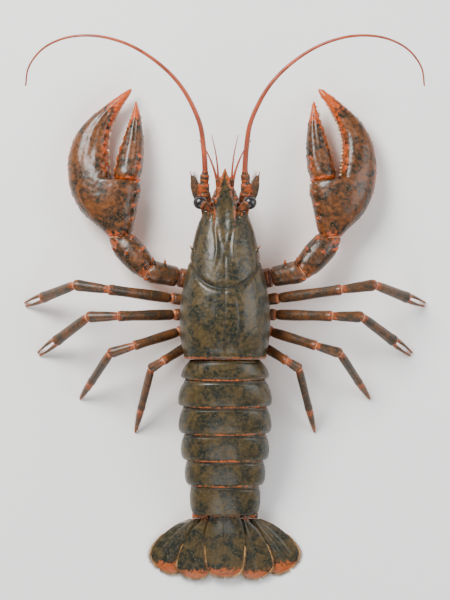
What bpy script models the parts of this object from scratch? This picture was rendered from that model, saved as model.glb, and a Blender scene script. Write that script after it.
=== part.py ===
"""A life-size lobster standing on its walking legs, its claws resting open on the floor in front of it.

The animal faces -Y with +Z up. Every size is in millimetres, with y counted backwards from the tip of
the rostrum and z upwards from the floor, and becomes metres when a mesh is made. Paired parts are
modelled once, for the left side at +X, and mirrored for the right.
"""

import math

import bmesh
import bpy
from mathutils import Vector

MM = 0.001
GAP = 0.3

# The floor point under the middle of the animal's outline, counted back from the rostrum tip
ORIGIN_BEHIND_TIP = 101.7

# Body: places along the back, counted from the rostrum tip
HEAD_FRONT = 32.0
CARAPACE_END = 140.0
GROOVE_PLACE = 88.0
SEGMENT_ENDS = (140.0, 154.0, 174.0, 194.0, 213.5, 232.0, 254.0)
TAIL_EDGE = 300.0

# Carapace: (place, value) pairs that the shell's outline runs through
CARAPACE_HALF_WIDTH = ((32, 16.0), (45, 21.0), (56, 23.6), (67, 26.2), (78, 28.6), (89, 31.0), (100, 32.6),
                       (111, 33.2), (122, 32.8), (133, 31.2), (140, 29.4))
CARAPACE_TOP = ((32, 57.5), (40, 60.5), (50, 63.5), (62, 66.5), (76, 69.0), (90, 70.5), (105, 71.5),
                (118, 71.0), (130, 68.2), (140, 64.2))
CARAPACE_WIDEST_LEVEL = ((32, 45.0), (60, 44.5), (100, 43.5), (140, 42.5))
MARGIN_FRONT_LEVEL = 30.0
MARGIN_REAR_LEVEL = 26.0
GROOVE_DEPTH = 0.045
GROOVE_SWEEP = 20.0
# How far the shell's lower front corner is raked back, and how far behind the front this fades out
FRONT_RAKE = 13.0
FRONT_RAKE_FADE = 34.0
# The shell is this much narrower at its lower margin, and its section is this square
MARGIN_TUCK = 0.2
SHELL_SQUARENESS = 2.25

# Rostrum stations: place, half width, half thickness and level
ROSTRUM_SHAPE = ((64, 2.2, 1.4, 65.8), (52, 5.2, 2.6, 62.2), (41, 8.4, 3.4, 58.6), (32, 8.4, 3.1, 57.4),
                 (24, 6.8, 2.6, 58.0), (15, 4.7, 2.1, 59.0), (7, 2.8, 1.5, 60.3), (1.5, 1.1, 0.9, 61.8),
                 (0, 0.5, 0.5, 62.2))
# Its side teeth: place, and how far out the rostrum's edge is there
ROSTRUM_TEETH = ((25, 6.0), (17, 4.3), (9.5, 2.6))
TOOTH_REACH = 4.5
TOOTH_RADIUS = 1.5
# Spines of the shell: root, tip and root radius
SHELL_SPINES = (((11.5, 39.0, 55.5), (12.6, 31.5, 58.8), 1.7), ((15.0, 37.0, 47.5), (17.8, 28.6, 48.6), 1.7),
                ((22.4, 62.0, 54.5), (26.2, 56.0, 57.2), 1.5))

# Thorax, the body wall under the carapace that carries the legs
THORAX_END = 138.5
THORAX_HALF_WIDTH = ((42, 7.5), (60, 10.0), (75, 14.5), (100, 18.0), (125, 18.5), (138.5, 14.0))
THORAX_KEEL_LEVEL = ((42, 25.5), (52, 22.0), (60, 18.0), (72, 13.5), (90, 11.5), (110, 11.0), (138.5, 13.5))
COXA_END = 23.0
COXA_SIZE = (4.3, 5.2)
CLAW_COXA_SIZE = (6.6, 7.0)
COXA_LENGTH = 15.0
COXA_LEVEL = 17.5

# Abdomen
ABDOMEN_HALF_WIDTH = ((140, 28.0), (150, 31.0), (165, 33.2), (185, 33.2), (205, 31.8), (225, 28.8),
                      (245, 25.2), (254, 23.4))
ABDOMEN_TOP = ((140, 62.5), (160, 59.0), (180, 53.0), (200, 46.0), (220, 38.5), (240, 31.0), (254, 25.5))
ABDOMEN_BELLY = ((140, 31.0), (160, 26.5), (180, 22.0), (200, 17.5), (220, 13.5), (240, 9.5), (254, 8.0))
PLEURA_DEPTH = (2.5, 9.5, 10.0, 9.5, 8.0, 4.0)
# Height and width of a plate at each share of its length, as factors on the body's
TERGITE_SWELL = ((0.0, 0.935), (0.14, 0.97), (0.4, 0.992), (0.7, 1.0), (0.9, 1.0), (1.0, 0.985))
TERGITE_SPREAD = ((0.0, 0.9), (0.14, 0.945), (0.4, 1.0), (0.7, 1.03), (0.9, 1.02), (1.0, 0.975))
PLEURA_LOBE = ((0.0, 0.0), (0.14, 0.3), (0.4, 0.72), (0.7, 1.0), (0.9, 0.6), (1.0, 0.25))
SWIMMERET_LENGTH = (12.0, 17.0, 15.0, 12.0, 8.5)

# Tail fan

TELSON_LEVELS = (16.5, 6.8)
TELSON_THICKNESS = 2.6
TELSON_DOME = 5.0
TELSON_DOME_END = 0.35
TELSON_SHAPE = ((0.0, 11.0), (0.06, 11.4), (0.14, 12.6), (0.35, 14.6), (0.6, 14.2), (0.8, 13.2), (0.92, 11.4),
                (0.98, 8.0), (1.0, 4.5))
TELSON_SPINE = ((11.6, 287.0, 8.6), (14.9, 293.2, 7.6), 0.9)
# Each blade of the fan: root, end and half widths along it
INNER_BLADE_ROOT = (13.4, 257.0, 12.2)
INNER_BLADE_END = (25.5, 299.5, 3.8)
INNER_BLADE_SHAPE = ((0.0, 3.6), (0.08, 4.2), (0.25, 8.2), (0.5, 11.2), (0.75, 12.2), (0.9, 11.0),
                     (0.97, 7.5), (1.0, 4.0))
OUTER_BLADE_ROOT = (20.6, 257.0, 8.2)
OUTER_BLADE_END = (47.5, 293.0, 0.9)
OUTER_BLADE_SHAPE = ((0.0, 3.4), (0.08, 4.4), (0.25, 9.0), (0.5, 12.6), (0.72, 13.6), (0.88, 12.4),
                     (0.97, 8.5), (1.0, 4.5))
BLADE_THICKNESS = 1.8
# The stalk that carries both blades: point, half width and half height
PROTOPOD_SHAPE = (((14.5, 242, 12.5), 5.0, 3.5), ((16.4, 250, 11.2), 7.2, 4.6),
                  ((17.0, 256.7, 10.4), 7.4, 4.4))

# Walking legs, front to back: where each leaves the body, its knee, its toe and its build
WALKING_LEGS = (
    {"root": 97.5, "knee": (109.8, 85.6, 41.0), "toe": (147.0, 100.0), "build": 1.0, "pincer": True},
    {"root": 107.0, "knee": (100.2, 109.0, 41.5), "toe": (137.0, 136.5), "build": 1.0, "pincer": True},
    {"root": 116.5, "knee": (84.0, 135.5, 41.0), "toe": (106.5, 169.5), "build": 0.93, "pincer": False},
    {"root": 127.5, "knee": (54.0, 146.5, 39.5), "toe": (66.0, 194.0), "build": 0.88, "pincer": False},
)
LEG_SIZE = (4.3, 5.0)
MERUS_SHARE = 0.72
MERUS_RISE = 4.5
ISCHIUM_RISE = 2.5
PROPODUS_SHARE = 0.66

# Claw arms
CLAW_ROOT = 82.0
ARM_END = (56.5, 75.5, 27.0)
WRIST = (78.0, 51.0, 21.3)
ARM_SIZE = (7.6, 8.2)
WRIST_SIZE = (7.2, 6.8)

# Claws, in their own frame: u forwards from the wrist, v towards the body, w up through the palm
CLAW_LENGTH = 110.0
CLAW_TIP = (72.5, -57.5, 12.6)
CLAW_ROLL = math.radians(10)
CRUSHER_WIDTH = 1.12
CRUSHER_THICKNESS = 1.02
CUTTER_WIDTH = 1.0
CUTTER_THICKNESS = 0.99
HINGE_PLACE = 42.0
CLAW_OUTER_EDGE = ((0, -7.0), (6, -13.0), (13, -21.0), (22, -28.0), (34, -33.5), (48, -36.0), (62, -35.5),
                   (75, -31.5), (87, -24.0), (98, -13.0), (106, -3.5), (110, 2.5))
PALM_INNER_EDGE = ((0, 7.0), (6, 9.6), (14, 11.0), (24, 12.4), (34, 14.2), (39, 14.0), (42, 12.4))
FINGER_BITE_EDGE = ((42, -9.0), (50, -10.5), (62, -12.0), (74, -11.5), (86, -8.0), (98, -2.0), (106, 3.2),
                    (110, 4.6))
FINGER_BLEND = ((42, 1.0), (48, 0.93), (56, 0.62), (66, 0.2), (74, 0.0))
FINGER_CORNER = 5.0
CLAW_SQUARENESS = 2.3
CLAW_HALF_THICKNESS = ((0, 6.8), (8, 10.0), (20, 13.6), (34, 15.0), (46, 14.2), (60, 12.0), (76, 9.5),
                       (92, 6.8), (104, 4.0), (110, 1.4))
THUMB_OUTER_EDGE = ((42, 11.2), (45.5, 13.4), (52, 14.8), (62, 15.2), (76, 14.2), (88, 12.0), (97, 9.6),
                    (101, 8.2))
THUMB_BITE_EDGE = ((42, -4.0), (45.5, -5.4), (52, -4.2), (62, -2.4), (76, 1.2), (88, 4.6), (97, 6.6),
                   (101, 7.2))
THUMB_HALF_THICKNESS = ((42, 9.4), (45.5, 11.0), (52, 10.6), (62, 9.4), (76, 7.2), (88, 5.0), (97, 2.8),
                        (101, 1.0))
THUMB_END = 101.0
# Teeth of the crusher: place along the claw, reach and radius. The cutter's are an even row of small ones
CRUSHER_FINGER_TEETH = ((47.4, 2.4, 3.0), (54.6, 2.6, 3.4), (62.2, 2.4, 3.2), (69.6, 2.0, 2.6),
                        (76.4, 1.6, 2.2))
CRUSHER_THUMB_TEETH = ((50, 1.6, 2.6), (58, 2.0, 3.0), (66, 1.8, 2.6), (73.5, 1.4, 2.0))
CUTTER_TEETH = 10
CUTTER_TOOTH_SPACING = 5.2
CUTTER_TOOTH_REACH = 1.5
PALM_SPINES = (12, 22, 32, 40)
THUMB_SPINES = (50, 58)
ARM_SPINES = (((52.0, 70.0, 33.0), (53.0, 64.5, 37.5), 1.7), ((56.0, 81.0, 33.0), (59.5, 82.0, 38.5), 1.7),
              ((44.0, 72.0, 29.5), (44.0, 66.5, 33.0), 1.7))
WRIST_SPINES = (((62.0, 62.0, 31.0), (58.5, 57.0, 35.5), 1.9), ((70.0, 54.0, 28.0), (66.0, 48.5, 31.5), 1.9),
                ((72.0, 64.0, 31.5), (73.0, 60.5, 37.0), 1.9), ((79.5, 61.0, 27.0), (83.5, 58.0, 31.5), 1.9))

# Antennae: the flagellum's course seen from above, with its height
ANTENNA_COURSE = ((14.5, 2.0, 46.5), (15.6, -14.0, 51.0), (19.0, -34.0, 57.0), (30.5, -57.0, 65.0),
                 (46.0, -74.0, 71.0), (66.0, -87.5, 75.0), (86.0, -94.6, 76.0), (104.0, -96.2, 73.5),
                 (120.0, -93.5, 68.0), (134.0, -86.0, 60.0), (143.5, -73.5, 50.5), (146.0, -59.0, 42.0))
ANTENNA_ROOT_RADIUS = 2.1
ANTENNA_TIP_RADIUS = 0.6
ANTENNA_SHARES = (0.0, 0.3, 0.64, 1.0)

# Stations of the small head limbs: point, half width and half height
EYE_ROOT = (9.4, 31.7, 50.6)
EYE_CENTRE = (18.2, 25.4, 52.6)
EYE_RADIUS = 5.0
EYE_STALK_RADIUS = 2.8
ANTENNA_BASE_SHAPE = (((12.2, 31.7, 40.5), 4.6, 5.0), ((13.6, 26.5, 41.8), 5.2, 5.2),
                      ((15.6, 19.0, 43.4), 4.2, 4.4), ((15.6, 15.5, 44.2), 4.4, 4.2),
                      ((15.0, 9.0, 45.6), 3.2, 3.2), ((14.8, 6.5, 46.0), 3.4, 3.2))
ANTENNA_SCALE_SHAPE = (((16.5, 28.0, 42.5), 2.0, 1.2), ((19.6, 20.0, 44.0), 3.6, 1.0),
                       ((22.4, 11.0, 45.6), 2.6, 0.8), ((24.2, 3.5, 47.0), 0.6, 0.4))
ANTENNA_BASE_SPINE = ((12.6, 17.5, 46.5), (12.4, 11.6, 50.2), 1.2)
ANTENNULE_STALK = (((4.1, 31.7, 45.5), 2.3, 2.3), ((4.3, 24, 47.0), 2.4, 2.4), ((4.5, 22.5, 47.4), 2.0, 2.0),
                   ((4.7, 16, 48.6), 2.2, 2.2), ((4.9, 14.5, 48.9), 1.8, 1.8), ((5.2, 9, 50.2), 1.9, 1.9),
                   ((5.3, 7.5, 50.5), 1.5, 1.5))
ANTENNULE_INNER = (((4.9, 9.5, 50.0), 0.9, 0.9), ((5.4, 0, 53.0), 0.9, 0.9), ((7.0, -12, 57.5), 0.7, 0.7),
                   ((10.0, -25, 63.5), 0.45, 0.45))
ANTENNULE_OUTER = (((5.9, 9.5, 50.2), 1.0, 1.0), ((8.4, 0, 54.5), 1.0, 1.0), ((13.0, -11, 61.5), 0.8, 0.8),
                   ((19.5, -21, 69.5), 0.45, 0.45))
MAXILLIPED_ROOT = (7.6, 60.0, 13.8)
MAXILLIPED_SIZE = (3.3, 3.1)
MAXILLIPED_SHAPE = (((8.0, 53, 14.6), 3.7, 3.3), ((8.4, 44, 17.0), 3.5, 3.2), ((8.6, 35, 20.0), 3.0, 2.8),
                    ((8.5, 31, 21.4), 2.4, 2.3), ((8.2, 26.5, 21.8), 2.8, 2.6), ((7.4, 22.0, 19.6), 2.5, 2.4),
                    ((6.9, 19.6, 17.4), 1.9, 1.9), ((6.0, 16.8, 13.6), 1.8, 1.8),
                    ((5.0, 15.0, 9.0), 0.6, 0.6))

# Paint
SHELL_COLOUR = (0.085, 0.075, 0.045)
CLAW_COLOUR = (0.16, 0.075, 0.035)
UNDERSIDE_COLOUR = (0.55, 0.27, 0.12)
LIMB_COLOUR = (0.22, 0.085, 0.035)
ANTENNA_COLOUR = (0.42, 0.07, 0.025)
EYE_COLOUR = (0.008, 0.007, 0.006)


def smooth(table, place):
    """The value at a place on a smooth curve through (place, value) pairs."""
    if place <= table[0][0]:
        return table[0][1]
    if place >= table[-1][0]:
        return table[-1][1]
    at = max(k for k in range(len(table) - 1) if table[k][0] <= place)

    def slope(k):
        before = table[max(k - 1, 0)]
        after = table[min(k + 1, len(table) - 1)]
        return (after[1] - before[1]) / (after[0] - before[0])

    (p0, v0), (p1, v1) = table[at], table[at + 1]
    span = p1 - p0
    t = (place - p0) / span
    return (
        (2 * t**3 - 3 * t**2 + 1) * v0
        + (t**3 - 2 * t**2 + t) * span * slope(at)
        + (3 * t**2 - 2 * t**3) * v1
        + (t**3 - t**2) * span * slope(at + 1)
    )


def rounded(angle, power):
    """Cosine and sine of an angle, bent towards a square for powers over 2."""
    c, s = math.cos(angle), math.sin(angle)
    return math.copysign(abs(c) ** (2 / power), c), math.copysign(abs(s) ** (2 / power), s)


def oval(centre, across, up, half_width, half_height, sides, power=2.0):
    """A ring of points round a centre."""
    ring = []
    for k in range(sides):
        c, s = rounded(2 * math.pi * k / sides, power)
        ring.append(centre + across * (half_width * c) + up * (half_height * s))
    return ring


def loft(rings):
    """A closed skin through rings with equal counts, as points and faces."""
    count = len(rings[0])
    points = [point for ring in rings for point in ring]
    faces = [tuple(reversed(range(count)))]
    for r in range(len(rings) - 1):
        for k in range(count):
            here = r * count + k
            beside = r * count + (k + 1) % count
            faces.append((here, beside, beside + count, here + count))
    faces.append(tuple(range(len(points) - count, len(points))))
    return points, faces


def frame_along(direction):
    """Sideways and upward unit vectors square to a direction that isn't vertical."""
    across = direction.cross(Vector((0, 0, 1))).normalized()
    return across, across.cross(direction).normalized()


def stations_of(table):
    return [(Vector(point), half_width, half_height) for point, half_width, half_height in table]


def thorns(table):
    return [spine(Vector(root), Vector(tip), radius) for root, tip, radius in table]


def tube(stations, start=None, end=None, sides=10, power=2.0):
    """A skin along (point, half width, half height) stations. start and end turn its two end faces."""
    rings = []
    last = len(stations) - 1
    for k, (point, half_width, half_height) in enumerate(stations):
        direction = stations[min(k + 1, last)][0] - stations[max(k - 1, 0)][0]
        if k == 0 and start is not None:
            direction = start
        if k == last and end is not None:
            direction = end
        across, up = frame_along(direction.normalized())
        rings.append(oval(point, across, up, half_width, half_height, sides, power))
    return loft(rings)


def spine(root, tip, radius, sides=5):
    """A pointed cone."""
    direction = (tip - root).normalized()
    across = direction.orthogonal().normalized()
    up = across.cross(direction)
    points = oval(root, across, up, radius, radius, sides) + [tip]
    faces = [tuple(reversed(range(sides)))]
    for k in range(sides):
        faces.append((k, (k + 1) % sides, sides))
    return points, faces


def placed(point, side):
    """A point of the animal in metres, mirrored for the right side and kept above the floor."""
    x, y, z = point
    return Vector((side * x, y - ORIGIN_BEHIND_TIP, max(z, 0.0))) * MM


def mesh_of(name, piece, side, pivot):
    points, faces = piece
    mesh = bpy.data.meshes.new(name)
    mesh.from_pydata([placed(p, side) - pivot for p in points], [], faces)
    shape = bmesh.new()
    shape.from_mesh(mesh)
    bmesh.ops.recalc_face_normals(shape, faces=shape.faces)
    shape.to_mesh(mesh)
    shape.free()
    return mesh


def keep_largest_surface(mesh):
    shape = bmesh.new()
    shape.from_mesh(mesh)
    left = set(shape.faces)
    surfaces = []
    while left:
        found = [left.pop()]
        for face in found:
            for edge in face.edges:
                for beside in edge.link_faces:
                    if beside in left:
                        left.remove(beside)
                        found.append(beside)
        surfaces.append(found)
    surfaces.sort(key=lambda faces: sum(face.calc_area() for face in faces))
    for faces in surfaces[:-1]:
        bmesh.ops.delete(shape, geom=faces, context="FACES")
    shape.to_mesh(mesh)
    shape.free()


def paint(name, colour, roughness=0.35):
    material = bpy.data.materials.get(name) or bpy.data.materials.new(name)
    material.use_nodes = True
    shader = material.node_tree.nodes["Principled BSDF"]
    shader.inputs["Base Color"].default_value = (*colour, 1)
    shader.inputs["Roughness"].default_value = roughness
    shader.inputs["Metallic"].default_value = 0.0
    return material


def add_node(name, pieces, material, pivot, side=1):
    """One named solid, fused from its pieces, with its origin at the pivot."""
    origin = placed(pivot, side)
    body = bpy.data.objects.new(name, mesh_of(name, pieces[0], side, origin))
    bpy.context.scene.collection.objects.link(body)
    if len(pieces) > 1:
        joined = bpy.data.collections.new("joined to " + name)
        bpy.context.scene.collection.children.link(joined)
        for piece in pieces[1:]:
            extra = bpy.data.objects.new("piece", mesh_of("piece", piece, side, origin))
            joined.objects.link(extra)
        fuse = body.modifiers.new("fuse", "BOOLEAN")
        fuse.operation = "UNION"
        fuse.solver = "EXACT"
        fuse.operand_type = "COLLECTION"
        fuse.collection = joined
        graph = bpy.context.evaluated_depsgraph_get()
        fused = bpy.data.meshes.new_from_object(body.evaluated_get(graph))
        body.modifiers.clear()
        body.data = fused
        for extra in list(joined.objects):
            bpy.data.objects.remove(extra)
        bpy.data.collections.remove(joined)
        keep_largest_surface(fused)
    body.data.materials.clear()
    body.data.materials.append(material)
    body.data.shade_smooth()
    body.data.set_sharp_from_angle(angle=math.radians(38))
    body.location = origin
    body.parent = ANIMAL
    return body


def add_pair(name, pieces, material, pivot):
    add_node(name + "_left", pieces, material, pivot, 1)
    add_node(name + "_right", pieces, material, pivot, -1)


def mirrored(piece):
    points, faces = piece
    return [Vector((-p.x, p.y, p.z)) for p in points], faces


def margin_level(place):
    share = (place - HEAD_FRONT) / (CARAPACE_END - HEAD_FRONT)
    return MARGIN_FRONT_LEVEL + share * (MARGIN_REAR_LEVEL - MARGIN_FRONT_LEVEL)


def carapace_ring(place, groove, sides=16):
    """One ring of the shell: over the back, down each flank and flat underneath."""
    reach = min(1.0, abs(place - GROOVE_PLACE) / (CARAPACE_END - GROOVE_PLACE))
    fade = math.cos(math.pi / 2 * reach) ** 2
    ring = []

    rake = FRONT_RAKE * max(0.0, 1 - (place - HEAD_FRONT) / FRONT_RAKE_FADE) ** 2

    def point(lift, drop):
        """lift turns from 0 on one flank over the back to pi on the other; drop runs down a flank."""
        sweep = GROOVE_SWEEP * fade * (math.cos(lift) ** 2 + 0.25 * drop)
        y = place - sweep + rake * drop**3
        width = smooth(CARAPACE_HALF_WIDTH, y)
        level = smooth(CARAPACE_WIDEST_LEVEL, y)
        top = smooth(CARAPACE_TOP, y)
        c, s = rounded(lift, SHELL_SQUARENESS)
        shrink = 1 - GROOVE_DEPTH * groove
        x = width * c * shrink * (1 - MARGIN_TUCK * drop**2)
        z = level + (top - level) * s * shrink - (level - margin_level(y)) * drop
        return Vector((x, y, z))

    for k in range(sides + 1):
        ring.append(point(math.pi * k / sides, 0.0))
    for drop in (0.35, 0.7, 1.0):
        ring.append(point(math.pi, drop))
    for drop in (1.0, 0.7, 0.35):
        ring.append(point(0.0, drop))
    return ring


def front_strips(sides=16):
    """Faces that close the shell's front from flank to flank, so that it can rake back below."""
    strips = [(k, k + 1, sides - 1 - k, sides - k) for k in range(sides // 2 - 1)]
    strips.append((sides // 2 - 1, sides // 2, sides // 2 + 1))
    edge = [(0, sides), (sides + 6, sides + 1), (sides + 5, sides + 2), (sides + 4, sides + 3)]
    strips += [(a, b, d, c) for (a, b), (c, d) in zip(edge, edge[1:])]
    return strips


def rostrum():
    """The spike between the eyes, with its teeth."""
    stations = [(Vector((0, y, z)), half_width, thick) for y, half_width, thick, z in ROSTRUM_SHAPE]
    levels = sorted((y, z) for y, _, _, z in ROSTRUM_SHAPE)
    pieces = [tube(stations)]
    for y, out in ROSTRUM_TEETH:
        level = smooth(levels, y)
        root = Vector((out - TOOTH_RADIUS, y + TOOTH_RADIUS, level))
        tip = Vector((out + 0.65 * TOOTH_REACH, y - TOOTH_REACH, level + 1.2))
        tooth = spine(root, tip, TOOTH_RADIUS)
        pieces += [tooth, mirrored(tooth)]
    return pieces


def carapace():
    stations = [(y, 0.0) for y in (32, 36, 42, 49, 56, 63, 70, 77, 83)]
    stations += [(85.8, 0.35), (88, 1.0), (90.2, 0.35)]
    stations += [(y, 0.0) for y in (93, 100, 108, 116, 124, 131, 136.5)]
    stations.append((CARAPACE_END - GAP / 2, 0.25))
    points, faces = loft([carapace_ring(y, groove) for y, groove in stations])
    pieces = [(points, front_strips() + faces[1:])] + rostrum()
    for thorn in thorns(SHELL_SPINES):
        pieces += [thorn, mirrored(thorn)]
    add_node("carapace", pieces, SHELL, (0, HEAD_FRONT, 45))


def root_direction(root, target):
    """Level direction in which a limb leaves the body."""
    return Vector((target[0] - root.x, target[1] - root.y, 0)).normalized()


def coxa(root, direction, size):
    """The short joint of the body wall that a limb turns on."""
    inner = root - direction * COXA_LENGTH
    middle = root - direction * (COXA_LENGTH * 0.45)
    outer = root - direction * (GAP / 2)
    stations = [(inner, size[0], size[1]), (middle, size[0] * 1.04, size[1] * 1.04), (outer, *size)]
    return tube(stations, direction, direction, 10)


def limb_roots():
    """(root, direction, size) of the left claw arm and the left walking legs."""
    claw = Vector((COXA_END, CLAW_ROOT, COXA_LEVEL))
    roots = [(claw, root_direction(claw, ARM_END), CLAW_COXA_SIZE)]
    for leg in WALKING_LEGS:
        root = Vector((COXA_END, leg["root"], COXA_LEVEL))
        size = (COXA_SIZE[0] * leg["build"], COXA_SIZE[1] * leg["build"])
        roots.append((root, root_direction(root, leg["knee"]), size))
    return roots


def thorax_ring(place):
    half_width = smooth(THORAX_HALF_WIDTH, place)
    keel = smooth(THORAX_KEEL_LEVEL, place)
    top = margin_level(place) - GAP
    waist = top - 0.45 * (top - keel)
    right = [(half_width, top), (half_width * 0.98, waist), (half_width * 0.6, keel + 1.2),
             (half_width * 0.25, keel)]
    left = [(-x, z) for x, z in reversed(right)]
    return [Vector((x, place, z)) for x, z in right + left]


def thorax():
    places = (42, 50, 58, 66, 76, 88, 100, 114, 128, THORAX_END)
    pieces = [loft([thorax_ring(y) for y in places])]
    for root, direction, size in limb_roots():
        socket = coxa(root, direction, size)
        pieces += [socket, mirrored(socket)]
    forwards = Vector((0, -1, 0))
    root = Vector(MAXILLIPED_ROOT)
    inner = root + Vector((-0.8, 9, 2.5))
    palp = tube([(inner, 3.0, 3.2), (root - forwards * (GAP / 2), *MAXILLIPED_SIZE)], forwards, forwards)
    pieces += [palp, mirrored(palp)]
    add_node("thorax", pieces, UNDERSIDE, (0, 90, 20))


def swimmeret(place, level, length):
    """A thin leaf that hangs back from the belly."""
    half_widths = (2.2, 3.6, 4.6, 3.8, 1.2)
    rings = []
    for k, half_width in enumerate(half_widths):
        share = k / (len(half_widths) - 1)
        drop = -2.0 + (length + 2.0) * share
        centre = Vector((13.5 + 2.5 * share, place - 2 + 0.55 * drop, level - drop))
        rings.append(oval(centre, Vector((1, 0, 0)), Vector((0, 0.92, 0.4)), half_width, 0.55, 6))
    return loft(rings)


def abdomen_ring(place, share, depth):
    """One ring of a tail segment: its arched back, the flaps at its sides and its belly."""
    swell = smooth(TERGITE_SWELL, share)
    width = smooth(ABDOMEN_HALF_WIDTH, place) * smooth(TERGITE_SPREAD, share)
    belly = smooth(ABDOMEN_BELLY, place)
    top = belly + (smooth(ABDOMEN_TOP, place) - belly) * swell
    level = belly + 0.22 * (top - belly)
    flap = max(belly - 0.6 - depth * smooth(PLEURA_LOBE, share), 1.0)
    arch = []
    for k in range(13):
        c, s = rounded(math.pi * k / 12, 2.2)
        arch.append((width * c, level + (top - level) * s))
    right = [(width, (level + flap) / 2), (width * 0.96, flap), (width * 0.96 - 2.2, flap + 0.4),
             (width * 0.8, belly), (width * 0.4, belly - 1.2)]
    left = [(-x, z) for x, z in right]
    outline = arch + left + list(reversed(right))
    return [Vector((x, place, z)) for x, z in outline]


def abdomen_segment(number):
    start = SEGMENT_ENDS[number - 1] + GAP / 2
    end = SEGMENT_ENDS[number] - GAP / 2
    depth = PLEURA_DEPTH[number - 1]
    rings = [abdomen_ring(start + (end - start) * share, share, depth) for share, _ in TERGITE_SWELL]
    pieces = [loft(rings)]
    middle = (start + end) / 2
    belly = smooth(ABDOMEN_BELLY, middle)
    if number <= len(SWIMMERET_LENGTH):
        leaf = swimmeret(middle, belly - 1, SWIMMERET_LENGTH[number - 1])
        pieces += [leaf, mirrored(leaf)]
    else:
        protopod = tube(stations_of(PROTOPOD_SHAPE), None, Vector((0, 1, 0)))
        pieces += [protopod, mirrored(protopod)]
    add_node(f"abdomen_{number}", pieces, SHELL, (0, start, belly))


def fan_plate(root, end, half_widths, thickness, dome=0.0):
    """A plate of the tail fan, ridged along its middle and domed at its root.

    half_widths run from its root to its end."""
    along = (end - root).normalized()
    level_along = Vector((along.x, along.y, 0)).normalized()
    across = level_along.cross(Vector((0, 0, 1))).normalized()
    up = Vector((0, 0, 1))
    rings = []
    for k, (share, half_width) in enumerate(half_widths):
        centre = root.lerp(end, share)
        side = Vector((1, 0, 0)) if k == 0 else across
        thin = thickness * (1 - 0.45 * share)
        ridge = 0.7 * math.sin(math.pi * min(1.0, 0.15 + share * 0.85))
        face = 0.3 + 0.7 * thin
        slope = 0.3 + 0.55 * thin
        profile = ((1.0, 0.25), (0.7, slope), (0.16, face), (0.0, face + ridge), (-0.16, face), (-0.7, slope),
                   (-1.0, 0.25), (-0.9, -0.35 * thin), (0.0, -0.55 * thin), (0.9, -0.35 * thin))
        rise = dome * max(0.0, 1 - share / TELSON_DOME_END) ** 2
        rings.append([centre + side * (half_width * x) + up * (z + rise * (1 - x * x) * (z > 0))
                      for x, z in profile])
    return loft(rings)


def tail_fan():
    telson_root = Vector((0, SEGMENT_ENDS[-1] + GAP / 2, TELSON_LEVELS[0]))
    telson_end = Vector((0, TAIL_EDGE - 1, TELSON_LEVELS[1]))
    telson = fan_plate(telson_root, telson_end, TELSON_SHAPE, TELSON_THICKNESS, TELSON_DOME)
    corner = thorns([TELSON_SPINE])[0]
    add_node("telson", [telson, corner, mirrored(corner)], SHELL, telson_root)
    for name, root, end, shape in (("uropod_inner", INNER_BLADE_ROOT, INNER_BLADE_END, INNER_BLADE_SHAPE),
                                   ("uropod_outer", OUTER_BLADE_ROOT, OUTER_BLADE_END, OUTER_BLADE_SHAPE)):
        add_pair(name, [fan_plate(Vector(root), Vector(end), shape, BLADE_THICKNESS)], SHELL, root)


def segment(start, end, size_from, size_to, shape):
    """Stations along one joint of a limb, thickened as shape says at each share of its length."""
    stations = []
    for share, factor in shape:
        half_width = (size_from[0] + (size_to[0] - size_from[0]) * share) * factor
        half_height = (size_from[1] + (size_to[1] - size_from[1]) * share) * factor
        stations.append((start.lerp(end, share), half_width, half_height))
    return stations


def walking_leg(number, leg, root, direction, root_size):
    build = leg["build"]
    knee = Vector(leg["knee"])
    toe = Vector((*leg["toe"], 0.0))
    merus_end = root.lerp(knee, MERUS_SHARE)
    merus_end.z = knee.z + MERUS_RISE
    finger_root = knee.lerp(toe, PROPODUS_SHARE)
    full = (LEG_SIZE[0] * build, LEG_SIZE[1] * build)
    wrist = (full[0] * 0.86, full[1] * 0.8)
    hand = (full[0] * (0.95 if leg["pincer"] else 0.72), full[1] * (0.66 if leg["pincer"] else 0.6))
    ischium_end = root.lerp(merus_end, 0.26)
    ischium_end.z = root.z + ISCHIUM_RISE
    start = root + direction * (GAP / 2)
    upper = [(start, *root_size)]
    upper += segment(start, ischium_end, root_size, full, ((0.55, 0.95), (0.97, 0.9)))
    upper += segment(ischium_end, merus_end, full, wrist, ((0.12, 0.98), (0.5, 1.0), (0.86, 1.1)))
    cut = ((merus_end - ischium_end).normalized() + (knee - merus_end).normalized()).normalized()
    joint = (wrist[0] * 0.9, wrist[1] * 0.9)
    upper.append((merus_end - cut * (GAP / 2), *joint))
    name = f"leg_{number}"
    add_pair(name + "_upper", [tube(upper, direction, cut)], LIMB, root)
    lower = [(merus_end + cut * (GAP / 2), *joint)]
    lower += segment(merus_end, knee, wrist, wrist, ((0.3, 1.04), (0.62, 1.1), (0.88, 1.08), (0.97, 0.94)))
    lower += segment(knee, finger_root, wrist, hand, ((0.05, 0.86), (0.14, 0.94), (0.5, 1.0), (0.9, 1.06)))
    along = (toe - knee).normalized()
    across, _ = frame_along(along)
    end_size = (hand[0] * 0.94, hand[1] * 0.94)
    lower.append((finger_root - along * (GAP / 2), *end_size))
    pieces = [tube(lower, cut, along)]
    if leg["pincer"]:
        offset = end_size[0] * 0.52
        finger = (end_size[0] * 0.4, end_size[1] * 0.8)
        pieces.append(finger_tube(finger_root - along * 4, toe, across * offset, finger, along, 2.2))
        tip_pieces = [finger_tube(finger_root + along * (GAP / 2), toe, across * -offset, finger, along, 2.2)]
    else:
        tip_pieces = [finger_tube(finger_root + along * (GAP / 2), toe, Vector(), end_size, along, 0.0)]
    add_pair(name + "_lower", pieces, LIMB, merus_end)
    add_pair(name + "_tip", tip_pieces, LIMB, finger_root)


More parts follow.
